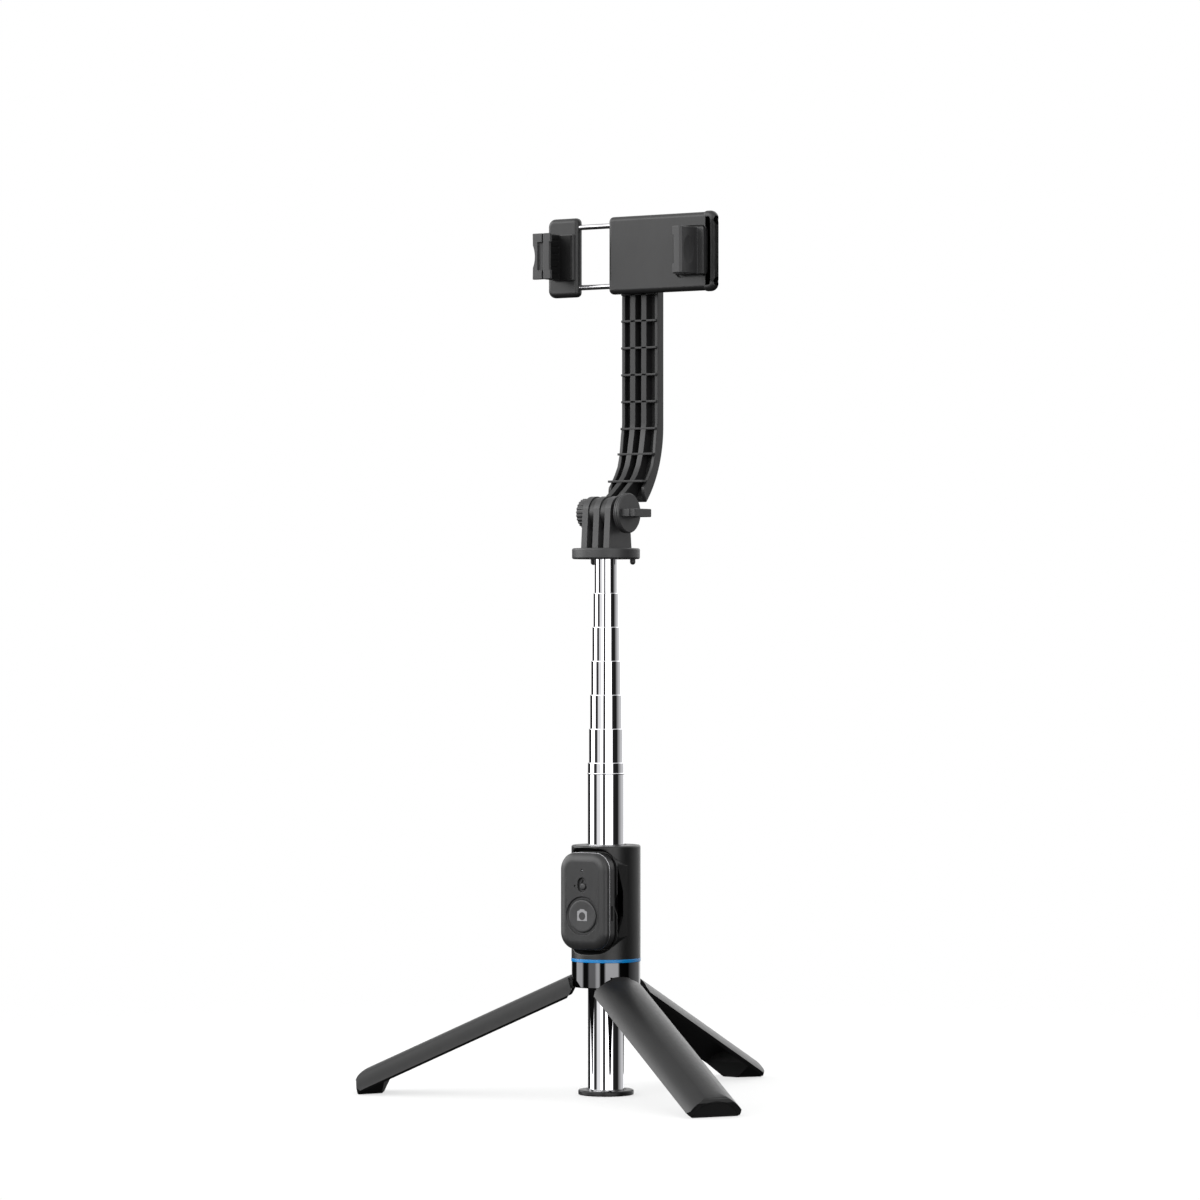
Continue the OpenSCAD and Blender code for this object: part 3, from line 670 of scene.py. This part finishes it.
def make_head():
    """The round plate with its pegs, and the three prongs on it."""
    z0, z1 = PLATE_Z, PLATE_Z + PLATE_H
    profile = ([(5, z0)] + arc(PLATE_R - 0.8, z0 + 0.8, 0.8, -90, 0, 6)
               + arc(PLATE_R - 0.8, z1 - 0.8, 0.8, 0, 90, 6) + [(0, z1), (0, z0 + 3.3), (5, z0 + 3.3)])
    plate = turned("plate", profile, steps=128, closed=False)
    parts = [plate]
    drop = TILT_Z - z1
    side = (arc(0, 0, 7.5, 15, 165, 24) + [(-8.5, -drop), (9, -drop)])
    for x in PRONGS_X:
        prong = pushed("prong", side, "X", x, x + PRONG_W, centre=(0, 0, TILT_Z))
        parts.append(soften(cut(prong, bolt_bore()), 0.35, 3))
    peg = ([(0, z0 - PEG_DROP)] + arc(0, z0 - PEG_DROP + PEG_R, PEG_R, -80, 0, 6)
           + [(PEG_R, z0 + 0.3), (0, z0 + 0.3)])
    for x in (-PEG_X, PEG_X):
        parts.append(turned("peg", peg, centre=(x, PEG_Y, 0), steps=32, closed=False))
    head = join("head_moulding", *parts)
    return finished(head, GREY_PLASTIC, "top_section", "head_mount")


def make_thumb_knob():
    """Collar, thick grooved flange and wing of the knob that tightens the tilt."""
    at = (0, 0, TILT_Z)
    r = (KNOB_HIGH.z - KNOB_LOW.z) / 2
    rim = [(r - 0.4, 9.8), (r, 10.2)]
    for groove in (10.8, 11.8):
        rim += [(r, groove - 0.12), (r - 0.3, groove - 0.08), (r - 0.3, groove + 0.08),
                (r, groove + 0.12)]
    rim += [(r, 12.3), (r - 0.5, 12.8)]
    profile = [(2.5, 7.6), (3.9, 7.6), (4.1, 7.8), (4.1, 9.8)] + rim + [(0, 12.8), (0, 12), (2.5, 12)]
    flange = turned("knob_flange", profile, "X", at, 128)
    wing = pushed("knob_wing", round_rect(13, 3.6, 0.5), "X", 12.2, KNOB_HIGH.x, centre=at)
    notch = pushed("wing_notch", [(-7, -3), (-5.7, -3), (-5.7, 3), (-7, 3)], "X", 16.9, 19, centre=at)
    cut(wing, notch)
    soften(wing, 0.35, 4)
    knob = join("thumb_knob_moulding", flange, wing)
    return finished(knob, GREY_PLASTIC, "thumb_screw", "thumb_knob")


def make_nut_cap():
    """The ribbed cap over the hex nut."""
    low, high = box_mm("nut_cap")
    at = (0, 0, TILT_Z)
    ribs, r0, r1 = 24, 6.3, 6.65
    outline = []
    for i in range(ribs):
        for share, radius in ((0.0, r0), (0.42, r0), (0.55, r1), (0.87, r1)):
            a = TURN * (i + share) / ribs
            outline.append((radius * math.cos(a), radius * math.sin(a)))
    cap = pushed("nut_cap_ribs", outline, "X", low.x + 0.5, high.x, centre=at)
    dome = turned("nut_cap_face", [(0, low.x), (4.2, low.x)] + [(r, low.x + h) for r, h in
                  ((5.4, 0.15), (6.1, 0.5), (6.25, 0.9), (0, 0.9))], "X", at, 96, False)
    soften(cap, 0.12, 2)
    cap = join("nut_cap_moulding", cap, dome)
    return finished(cap, GREY_PLASTIC, "top_section", "nut_cap")


# ---- arm ----

ARM_WALL, ARM_WEB = 1.7, 1.6
LONG_RIBS_X, LONG_RIB_W = (-4.4, 1.6), 2.8
CROSS_RIBS_Z = (270.3, 282.6, 294, 306, 318, 330, 342, 354)
ARM_BACK = ARM_HIGH.y
ARM_BEND = 50
BEND_Y, BEND_Z = ARM_BACK - ARM_BEND, 295.5
ARM_FRONT = ARM_BACK - 4.6
RIM = [(26.2, 296.5), (25.2, 291), (24.2, 283), (22.6, 277.5), (20.3, 273.7), (17.8, 270.4),
       (15.7, 268), (15.5, 265.3)]
RIB_FRONT = [(25, 297), (24, 291), (22.6, 284), (20.6, 278), (18, 273.7), (14.4, 270), (9, 266),
             (3.5, 262.4)]


def arm_back_line(inset=0.0, lowest=-43, steps=28):
    """The arm's curved back, from its lower end up, set in by a wall."""
    return (arc(BEND_Y, BEND_Z, ARM_BEND - inset, lowest, 0, steps)
            + [(ARM_BACK - inset, CLAMP_Z)])


def rib_front(z):
    """How far forward the long ribs reach at a height."""
    for (y0, z0), (y1, z1) in zip(RIB_FRONT, RIB_FRONT[1:]):
        if z1 <= z <= z0:
            return y0 + (y1 - y0) * (z0 - z) / (z0 - z1)
    return RIB_FRONT[0][0]


def web_front(z):
    """Where the web's front is at a height: straight above the bend, then curving forwards."""
    drop = max(BEND_Z - z, 0)
    return ARM_BACK - ARM_WEB - (ARM_BEND - ARM_WEB) * (1 - math.cos(math.asin(drop / ARM_BEND)))


def make_arm():
    """The open channel with its ribs, the lugs on the bolt and the eye at the top."""
    half = ARM_W / 2
    side = arm_back_line() + [(ARM_FRONT, CLAMP_Z)] + RIM
    strip = arm_back_line() + arm_back_line(ARM_WEB, -41)[::-1]
    rib = (arm_back_line(0.2)[:-1] + [(ARM_BACK - 0.2, CLAMP_Z - 5), (ARM_FRONT + 0.4, CLAMP_Z - 5),
                                      (ARM_FRONT + 0.4, CLAMP_Z - 10.5), (25, CLAMP_Z - 12)] + RIB_FRONT
           + arc(0, TILT_Z, 7, 62, 282, 24))
    parts = []
    for x in (-half, half - ARM_WALL):
        parts.append(soften(pushed("arm_wall", side, "X", x, x + ARM_WALL), 0.3, 3))
    parts.append(soften(pushed("arm_web", strip, "X", -half + 0.02, half - 0.02), 0.2, 2))
    for x in LONG_RIBS_X:
        long_rib = pushed("long_rib", rib, "X", x, x + LONG_RIB_W)
        parts.append(soften(cut(long_rib, bolt_bore()), 0.25, 2))
    for z in CROSS_RIBS_Z:
        back, front = web_front(z) + 0.6, rib_front(z)
        plate = pushed("cross_rib", [(front, z), (back, z), (back, z + 1), (front, z + 1)], "X",
                       -half + 0.4, half - 0.4)
        parts.append(soften(plate, 0.15, 2))
    eye = turned("arm_eye", [(2.55, ARM_FRONT)] + [(half - 0.4, ARM_FRONT), (half, ARM_FRONT + 0.4),
                 (half, ARM_BACK - 0.6), (half - 0.6, ARM_BACK), (4.6, ARM_BACK), (4.3, ARM_BACK - 0.3),
                 (4.3, 28.6), (2.55, 28.6)], "Y", (0, 0, CLAMP_Z), 96)
    opening = turned("eye_room", [(0, 20), (half - 0.8, 20), (half - 0.8, 40), (0, 40)], "Y",
                     (0, 0, CLAMP_Z), 64, False)
    cut(parts[2], opening)
    parts.append(eye)
    arm = join("arm_moulding", *parts)
    return finished(arm, ARM_PLASTIC, "arm", "tilt_arm")


# ---- clamp ----

ROD_Z, ROD_R, SPRING_ROOM_R = 13.5, 1.2, 2.0      # rods above and below the clamp's axis
FRAME_H, FRAME_CORNER = 35.5, 3.5
JAW_FOOT_X, JAW_FOOT_DEEP = 33, 1.4
LIP_Y, LIP_NOTCH_HALF = 3.5, 6.2
DIMPLE = (1.1, 5.1, 7.8)                          # half of its depth, width and height
THUMB_R, THUMB_X = 12, -53.4                      # the round hollow in the thumb tab's edge


def frame_slab(name, x0, x1, height):
    """Part of the clamp's flat frame, its back edges well rounded."""
    outline = round_rect(2 * CLAMP_HIGH.x, height, FRAME_CORNER, steps=12)
    slab = pushed(name, outline, "Y", FRAME_FRONT, FRAME_BACK, centre=(0, 0, CLAMP_Z))
    keep_inside(slab, pushed("frame_span", [(x0, -30), (x1, -30), (x1, 30), (x0, 30)], "Y", 0, 60,
                             centre=(0, 0, CLAMP_Z)))
    soften_where(slab, 2.2, lambda p: p.y > FRAME_BACK - 0.1 and x0 + 0.1 < p.x < x1 - 0.1
                 or (p.y > FRAME_BACK - 0.1 and abs(p.x) > CLAMP_HIGH.x - 0.1), 6)
    soften_where(slab, 0.5, lambda p: p.y < FRAME_FRONT + 0.1, 3)
    return slab


def rod_cutters(radius, x0, x1):
    rod_y = (FRAME_FRONT + FRAME_BACK) / 2
    return [turned(f"rod_room_{i}", [(0, x0), (radius, x0), (radius, x1), (0, x1)], "X",
                   (0, rod_y, CLAMP_Z + side * ROD_Z), 48, False) for i, side in enumerate((-1, 1))]


def jaw_recess(width):
    """The room for the fixed jaw's foot in the front of the frame."""
    outline = round_rect(width, JAW_H + 2.4, 3, JAW_FOOT_X, 0)
    return pushed("jaw_recess", outline, "Y", FRAME_FRONT - 2, FRAME_FRONT + JAW_FOOT_DEEP,
                  centre=(0, 0, CLAMP_Z))


def make_clamp_frame():
    """The fixed half of the frame, with the recess for its jaw and the two spring chambers."""
    seam = CLAMP_LOW.x
    end = CLAMP_HIGH.x
    slab = frame_slab("frame_main", seam, end, 34.6)
    cut(slab, jaw_recess(17))
    cut(slab, *rod_cutters(SPRING_ROOM_R, seam + 4, end + 2))
    cap = frame_slab("frame_end", end - 7, end, FRAME_H)
    cut(cap, *rod_cutters(SPRING_ROOM_R, seam + 4, end + 2))
    cut(cap, jaw_recess(16.4))
    boss = turned("frame_boss", [(2.5, FRAME_BACK - 0.5), (8, FRAME_BACK - 0.5), (8, 25.4), (7.7, 25.7),
                  (2.5, 25.7)], "Y", (0, 0, CLAMP_Z), 96)
    main = join("clamp_frame_moulding", slab, cap, boss)
    return finished(main, ARM_PLASTIC, "clamp", "clamp_frame")


def make_sliding_frame():
    slab = frame_slab("sliding_frame_moulding", SLIDE_LOW.x, SLIDE_HIGH.x, FRAME_H)
    cut(slab, *rod_cutters(ROD_R, -42, SLIDE_HIGH.x + 2))
    return finished(slab, ARM_PLASTIC, "clamp_slide", "sliding_frame")


def jaw_shape(name, root):
    """A jaw for the phone's right edge: lip, wall and foot."""
    p, half = PHONE_HALF, JAW_H / 2
    outline = [(p - 2.85, LIP_Y), (p + 0.9, LIP_Y), (p + 1.95, LIP_Y + 1.1), (p + 1.95, 16),
               (p + 5.2, 16), (p + 5.2, FRAME_FRONT), (p - root, FRAME_FRONT), (p - root, 16),
               (p + PAD_THICK, 16), (p + PAD_THICK, 6.3), (p - 0.4, 6.3), (p - 1, 5.2), (p - 2.85, 5)]
    jaw = pushed(f"{name}_lip", outline, "Z", -half, half, centre=(0, 0, CLAMP_Z))
    notch = pushed("lip_notch", [(p - 3.5, 3), (p - 2.25, 3), (p - 2.25, 7), (p - 3.5, 7)], "Z",
                   -LIP_NOTCH_HALF, LIP_NOTCH_HALF, centre=(0, 0, CLAMP_Z))
    return cut(jaw, notch)


def make_fixed_jaw():
    jaw = jaw_shape("fixed", 10)
    dimple = turned("thumb_dimple", arc(0, 0, 1.0, -90, 90, 24), "X", (0, 0, 0), 48, False)
    moved(dimple, Matrix.Diagonal((*DIMPLE, 1)))
    moved(dimple, shift(PHONE_HALF + 2.55, 9.5, CLAMP_Z))
    cut(jaw, dimple)
    foot = pushed("jaw_foot", round_rect(15.5, JAW_H - 1, 2.5, JAW_FOOT_X, 0), "Y",
                  FRAME_FRONT - 0.2, FRAME_FRONT + JAW_FOOT_DEEP, centre=(0, 0, CLAMP_Z))
    soften(jaw, 0.3, 3)
    jaw = join("fixed_jaw_moulding", jaw, foot)
    return finished(jaw, GREY_PLASTIC, "clamp", "fixed_jaw")


def make_moving_jaw():
    """The sliding jaw, with its thumb tab."""
    jaw = jaw_shape("moving", 6)
    mirrored(jaw)
    half, inner, outer = JAW_H / 2, -PHONE_HALF - 1.7, -42.6
    thumb = [(x, z) for x, z in arc(THUMB_X, 0, THUMB_R, 58.7, -58.7, 24) if x > outer]
    outline = [(inner, -half), (inner, half), (outer, half)] + thumb + [(outer, -half)]
    tab = pushed("thumb_tab", outline, "Y", LIP_Y, LIP_Y + 2, centre=(0, 0, CLAMP_Z))
    low, high = -LIP_NOTCH_HALF, LIP_NOTCH_HALF
    pocket = pushed("tab_pocket", [(-39.9, low), (-37, low), (-37, high), (-39.9, high)], "Y",
                    LIP_Y - 0.5, LIP_Y + 1.2, centre=(0, 0, CLAMP_Z))
    cut(tab, pocket)
    soften(tab, 0.25, 3)
    soften(jaw, 0.3, 3)
    jaw = join("moving_jaw_moulding", jaw, tab)
    return finished(jaw, GREY_PLASTIC, "clamp_slide", "moving_jaw")


def make_pad(node, body, mirror):
    """The rubber lining of a jaw, ribbed where it grips the phone's edge."""
    low, high = box_mm(node)
    p = PHONE_HALF
    root = p - (low.x if not mirror else -high.x)
    half = (high.z - low.z) / 2
    back = p + PAD_THICK
    pad = pushed(f"{node}_rubber", [(back, 6.3), (back, 16), (p - root, 16), (p - root, 14.7),
                 (p, 14.7), (p, 6.3)], "Z", -half, half, centre=(0, 0, CLAMP_Z))
    for i in range(6):
        z = -half + 2.2 + i * (2 * half - 4.4) / 5
        groove = pushed("pad_groove", [(p - 1, z - 0.35), (p + 0.2, z - 0.35), (p + 0.2, z + 0.35),
                        (p - 1, z + 0.35)], "Y", 5, 14.2, centre=(0, 0, CLAMP_Z))
        cut(pad, groove)
    soften(pad, 0.12, 2)
    if mirror:
        mirrored(pad)
    return finished(pad, RUBBER, body, node)


def make_guide_rods():
    low, high = box_mm("guide_rods")
    rods = []
    rod_y = (FRAME_FRONT + FRAME_BACK) / 2
    for i, side in enumerate((-1, 1)):
        profile = [(0, low.x), (1, low.x), (ROD_R, low.x + 0.2), (ROD_R, high.x - 1.5),
                   (1.95, high.x - 1.5), (1.95, high.x - 0.2), (1.75, high.x), (0, high.x)]
        rods.append(turned(f"rod_{i}", profile, "X", (0, rod_y, CLAMP_Z + side * ROD_Z), 48, False))
    rod = join("guide_rods_turned", *rods)
    return finished(rod, STEEL, "clamp_slide", "guide_rods")


# ---- remote ----

SHELL_WALL = 1.3
CROWN_WIDE, CROWN_DEEP = 4.1, 2.3
TRIM_PROUD, TRIM_HALF = 0.12, 0.2
PLATE_FACE = -16.7                  # the inside of the front shell


def remote_slab(name, inset, y0, y1):
    outline = round_rect(REMOTE_W - 2 * inset, REMOTE_H - 2 * inset, REMOTE_CORNER - inset, 0,
                         REMOTE_Z, 14)
    return pushed(name, outline, "Y", y0, y1)


def crown_front(piece, front, wide, deep, steps=9):
    """Rounds a slab's front face off by repeated insets along a quarter ellipse."""
    choose(piece, "FACE", lambda p, n: n.y < -0.9 and p.y < front + 0.05)
    for i in range(steps):
        a, b = (math.radians(90 * k / steps) for k in (i, i + 1))
        bpy.ops.mesh.inset(thickness=wide * MM * (math.cos(a) - math.cos(b)),
                           depth=deep * MM * (math.sin(b) - math.sin(a)))
    bpy.ops.mesh.select_mode(type="VERT")
    leave()
    return piece


def make_remote_front():
    """The remote's front shell: a crowned slab with its button well, switch recess and light."""
    shoulder = REMOTE_FRONT + CROWN_DEEP
    shell = remote_slab("remote_front_moulding", 0, shoulder, SEAM_Y - 0.15)
    crown_front(shell, shoulder, CROWN_WIDE, CROWN_DEEP)
    hollow = remote_slab("remote_hollow", SHELL_WALL, PLATE_FACE, SEAM_Y + 1)
    cut(shell, hollow)
    r, floor = BUTTON_R, REMOTE_FRONT + 0.65
    well = turned("button_well", [(0, -20), (r + 1.3, -20), (r + 1.3, floor - 0.35),
                  (r + 0.95, floor), (r + 0.12, floor), (r + 0.12, -14), (0, -14)], "Y",
                  (0, 0, BUTTON_Z), 96, False)
    recess = pushed("switch_recess", round_rect(5.1, 6.4, 2.5), "Y", -20, REMOTE_FRONT + 1,
                    centre=(0, 0, SWITCH_RECESS_Z))
    slot = pushed("switch_slot", round_rect(1.9, 4.4, 0.9), "Y", -20, -14,
                  centre=(0, 0, SWITCH_RECESS_Z))
    light = turned("light_hole", [(0, -20), (0.65, -20), (0.65, -14), (0, -14)], "Y", (0, 0, LIGHT_Z),
                   32, False)
    pin_hole = turned("pin_hole", [(0, -20), (0.4, -20), (0.4, -14), (0, -14)], "Y",
                      (-4, 0, SWITCH_RECESS_Z - 0.5), 24, False)
    cut(shell, well, recess, slot, light, pin_hole)
    soften_where(shell, 0.18, lambda p: p.y < REMOTE_FRONT + 0.05, 3)
    return finished(shell, REMOTE_PLASTIC, "remote", "remote_front", angle=30)


def make_remote_back():
    shell = remote_slab("remote_back_moulding", 0, SEAM_Y + 0.15, REMOTE_BACK)
    soften_where(shell, 0.9, lambda p: p.y > REMOTE_BACK - 0.05, 5)
    hollow = remote_slab("remote_hollow", SHELL_WALL, SEAM_Y - 1, REMOTE_BACK - 1.2)
    slot = pushed("side_slot", [(11.8, -14.2), (14, -14.2), (14, -12.8), (11.8, -12.8)], "Z", 77.5, 84)
    cut(shell, hollow, slot)
    return finished(shell, REMOTE_PLASTIC, "remote", "remote_back")


def make_remote_trim():
    trim = remote_slab("remote_trim_ring", -TRIM_PROUD, SEAM_Y - TRIM_HALF, SEAM_Y + TRIM_HALF)
    soften_where(trim, 0.08, lambda p: True, 2)
    cut(trim, remote_slab("trim_room", SHELL_WALL, SEAM_Y - 1, SEAM_Y + 1))
    return finished(trim, TRIM, "remote", "remote_trim")


def make_shutter_button():
    front, back = BUTTON_LOW.y, BUTTON_HIGH.y
    r = BUTTON_R
    profile = ([(0, front + 0.12), (3.5, front + 0.07), (6, front)]
               + arc(r - 0.55, front + 0.55, 0.55, -90, 0, 6) + [(r, back), (0, back)])
    button = turned("shutter_button_moulding", profile, "Y", (0, 0, BUTTON_Z), 96, False)
    return finished(button, BUTTON_PLASTIC, "shutter", "shutter_button", angle=50)


def make_camera_mark():
    """A plain camera outline printed on the button."""
    front = BUTTON_LOW.y
    w, h = 2.6, 2.1
    outline = [(-w, -h), (w, -h), (w, h - 0.1), (w - 0.6, h + 0.2), (1.5, h + 0.2), (1.1, h + 0.9),
               (-1.1, h + 0.9), (-1.5, h + 0.2), (-w + 0.6, h + 0.2), (-w, h - 0.1)]
    mark = pushed("camera_mark", outline, "Y", front + 0.04, front + 0.3, centre=(0, 0, BUTTON_Z))
    hole = turned("mark_hole", [(0, -20), (1.75, -20), (1.75, -14), (0, -14)], "Y",
                  (0, 0, BUTTON_Z - 0.05), 48, False)
    cut(mark, hole)
    return finished(mark, PRINT, "shutter")


def make_power_switch():
    low = SWITCH_LOW.y
    at = (0, 0, SWITCH_Z)
    knob = turned("switch_knob", [(0, low)] + arc(0.9, low + 0.6, 0.6, -90, 0, 6)
                  + [(1.5, low + 0.9), (0, low + 0.9)], "Y", at, 48, False)
    stem = pushed("switch_stem", round_rect(1.6, 1.5, 0.2), "Y", low + 0.8, SWITCH_HIGH.y, centre=at)
    plate = pushed("switch_plate", round_rect(3.4, 6.4, 0.5), "Y", PLATE_FACE + 0.02, PLATE_FACE + 0.25,
                   centre=at)
    switch = join("power_switch_moulding", knob, stem, plate)
    return finished(switch, BUTTON_PLASTIC, "power", "power_switch")


def make_status_light():
    low, high = LIGHT_LOW.y, LIGHT_HIGH.y
    lens = turned("status_light_lens", [(0, low), (0.35, low + 0.05), (0.58, low + 0.25), (0.58, high),
                  (0, high)], "Y", (0, 0, LIGHT_Z), 32, False)
    return finished(lens, LENS, "remote", "status_light", angle=50)


# ---- pieces that stay as the frame has them ----

def dress(finish, *nodes):
    for node in nodes:
        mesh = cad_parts[node].data
        mesh.materials.clear()
        mesh.materials.append(finish)


def dress_inner_parts():
    dress(ACETAL, "pivot_washer", *[f"glide_{k}" for k in range(2, 8)])
    dress(DARK_ACETAL, "top_bush", "hub_bush")
    dress(STEEL, "leg_pins", "tilt_bolt", "hex_nut", "pivot_screw", "clamp_springs", "dock_magnets",
          "coin_cell", "keeper_plates")
    dress(BOARD, "circuit_board")
    dress(BRASS, "dome_switch")


# ---- stage, light and camera ----

CAMERA_AZIMUTH = 35
CAMERA_HEIGHT = 0.2088
CAMERA_AWAY = 2.140


def add_camera():
    a = math.radians(CAMERA_AZIMUTH)
    place = Vector((math.sin(a) * CAMERA_AWAY, -math.cos(a) * CAMERA_AWAY, CAMERA_HEIGHT))
    bpy.ops.object.camera_add(location=place, rotation=(math.pi / 2, 0, a))
    camera = bpy.context.object
    camera.name = "camera"
    camera.data.lens = 145.5
    camera.data.sensor_width = 36
    camera.data.shift_x = -0.005
    camera.data.shift_y = 0.0175
    camera.data.clip_end = 20
    bpy.context.scene.camera = camera
    bpy.context.scene.view_settings.view_transform = "Standard"


def add_floor():
    """A pale floor that fades into the white around it."""
    bpy.ops.mesh.primitive_circle_add(vertices=96, radius=1.6, fill_type="NGON",
                                      location=(0, 0, -0.0002))
    floor = bpy.context.object
    floor.name = "floor"
    finish, nodes, links = new_finish("pale_floor")
    shader = nodes["Principled BSDF"]
    shader.inputs["Base Color"].default_value = (1, 1, 1, 1)
    shader.inputs["Roughness"].default_value = 0.6
    place = nodes.new("ShaderNodeTexCoord")
    away = nodes.new("ShaderNodeVectorMath")
    away.operation = "LENGTH"
    links.new(place.outputs["Object"], away.inputs[0])
    fade = nodes.new("ShaderNodeMapRange")
    fade.interpolation_type = "SMOOTHSTEP"
    fade.inputs["From Min"].default_value = 0.16
    fade.inputs["From Max"].default_value = 0.55
    fade.inputs["To Min"].default_value = 0.35
    fade.inputs["To Max"].default_value = 0.0
    links.new(away.outputs["Value"], fade.inputs["Value"])
    links.new(fade.outputs["Result"], shader.inputs["Alpha"])
    floor.data.materials.append(finish)
    floor.visible_glossy = False
    floor.visible_diffuse = False


# (angle from the camera, brightness), in degrees, of the cards round the studio at eye height ...
LEVEL_CARDS = [(-152, 0.02), (-120, 0.02), (-113, 2.6), (-88, 2.6), (-81, 0.03), (-64, 0.03),
               (-57, 0.85), (-38, 0.85), (-31, 2.6), (-23, 2.6), (-19, 0.03), (-6, 0.03), (0, 2.8),
               (40, 2.8), (46, 0.02), (80, 0.01), (92, 0.25), (120, 0.6), (150, 1.4)]
# ... and of the soft panels above it
HIGH_PANELS = [(-150, 0.1), (-125, 3.6), (-40, 3.6), (-15, 0.5), (0, 1.8), (40, 1.8), (62, 0.05),
               (88, 0.1), (118, 1.6), (145, 1.6), (165, 1.6)]
BRIGHTEST = 4.0


def compass(nodes, links, split):
    """The share of a turn, from the back of the object, of the direction looked in."""
    flip = nodes.new("ShaderNodeMath")
    flip.operation = "MULTIPLY"
    flip.inputs[1].default_value = -1
    links.new(split.outputs["Y"], flip.inputs[0])
    around = nodes.new("ShaderNodeMath")
    around.operation = "ARCTAN2"
    links.new(split.outputs["X"], around.inputs[0])
    links.new(flip.outputs["Value"], around.inputs[1])
    share = nodes.new("ShaderNodeMapRange")
    share.inputs["From Min"].default_value = -math.pi
    share.inputs["From Max"].default_value = math.pi
    links.new(around.outputs["Value"], share.inputs["Value"])
    return share.outputs["Result"]


def light_ring(nodes, links, share, cards):
    """A ring of brightness round the studio."""
    ramp = nodes.new("ShaderNodeValToRGB")
    stops = sorted((((angle + CAMERA_AZIMUTH + 180) % 360) / 360, value) for angle, value in cards)
    for position, _ in stops[2:]:
        ramp.color_ramp.elements.new(position)
    for element, (position, value) in zip(ramp.color_ramp.elements, stops):
        element.position = position
        element.color = (*[value / BRIGHTEST] * 3, 1)
    links.new(share, ramp.inputs["Fac"])
    return ramp.outputs["Color"]


def layered(nodes, links, height, low, high, below, above):
    """Goes over from one light to another between two heights of the direction looked in."""
    step = nodes.new("ShaderNodeMapRange")
    step.interpolation_type = "SMOOTHSTEP"
    step.inputs["From Min"].default_value = low
    step.inputs["From Max"].default_value = high
    links.new(height, step.inputs["Value"])
    mix = nodes.new("ShaderNodeMixRGB")
    links.new(step.outputs["Result"], mix.inputs["Fac"])
    for light, socket in ((below, mix.inputs["Color1"]), (above, mix.inputs["Color2"])):
        if isinstance(light, float):
            socket.default_value = (*[light / BRIGHTEST] * 3, 1)
        else:
            links.new(light, socket)
    return mix.outputs["Color"]


def add_studio():
    """White surroundings for the camera, and cards and soft panels for the reflections."""
    world = bpy.data.worlds.new("studio")
    bpy.context.scene.world = world
    world.use_nodes = True
    nodes, links = world.node_tree.nodes, world.node_tree.links
    place = nodes.new("ShaderNodeTexCoord")
    split = nodes.new("ShaderNodeSeparateXYZ")
    links.new(place.outputs["Generated"], split.inputs["Vector"])
    height = split.outputs["Z"]
    share = compass(nodes, links, split)
    level = light_ring(nodes, links, share, LEVEL_CARDS)
    panels = light_ring(nodes, links, share, HIGH_PANELS)
    lights = layered(nodes, links, height, -0.18, -0.11, 0.03, level)
    lights = layered(nodes, links, height, 0.05, 0.10, lights, panels)
    lights = layered(nodes, links, height, 0.52, 0.75, lights, 0.9)
    ring = nodes["Background"]
    links.new(lights, ring.inputs["Color"])
    ring.inputs["Strength"].default_value = BRIGHTEST
    white = nodes.new("ShaderNodeBackground")
    white.inputs["Color"].default_value = (1, 1, 1, 1)
    white.inputs["Strength"].default_value = 1.0
    path = nodes.new("ShaderNodeLightPath")
    mix = nodes.new("ShaderNodeMixShader")
    links.new(path.outputs["Is Camera Ray"], mix.inputs["Fac"])
    links.new(ring.outputs["Background"], mix.inputs[1])
    links.new(white.outputs["Background"], mix.inputs[2])
    links.new(mix.outputs["Shader"], nodes["World Output"].inputs["Surface"])


def make_pole():
    for number in range(1, 8):
        make_tube(number)
    make_base_disc()


def make_remote():
    make_remote_front()
    make_remote_back()
    make_remote_trim()
    make_shutter_button()
    make_camera_mark()
    make_power_switch()
    make_status_light()


def make_clamp():
    make_clamp_frame()
    make_sliding_frame()
    make_fixed_jaw()
    make_moving_jaw()
    make_pad("fixed_jaw_pad", "clamp", False)
    make_pad("moving_jaw_pad", "clamp_slide", True)
    make_guide_rods()


add_camera()
make_pole()
make_handle()
make_accent_ring()
make_hub()
make_legs()
make_head()
make_thumb_knob()
make_nut_cap()
make_arm()
make_clamp()
make_remote()
dress_inner_parts()
add_floor()
add_studio()
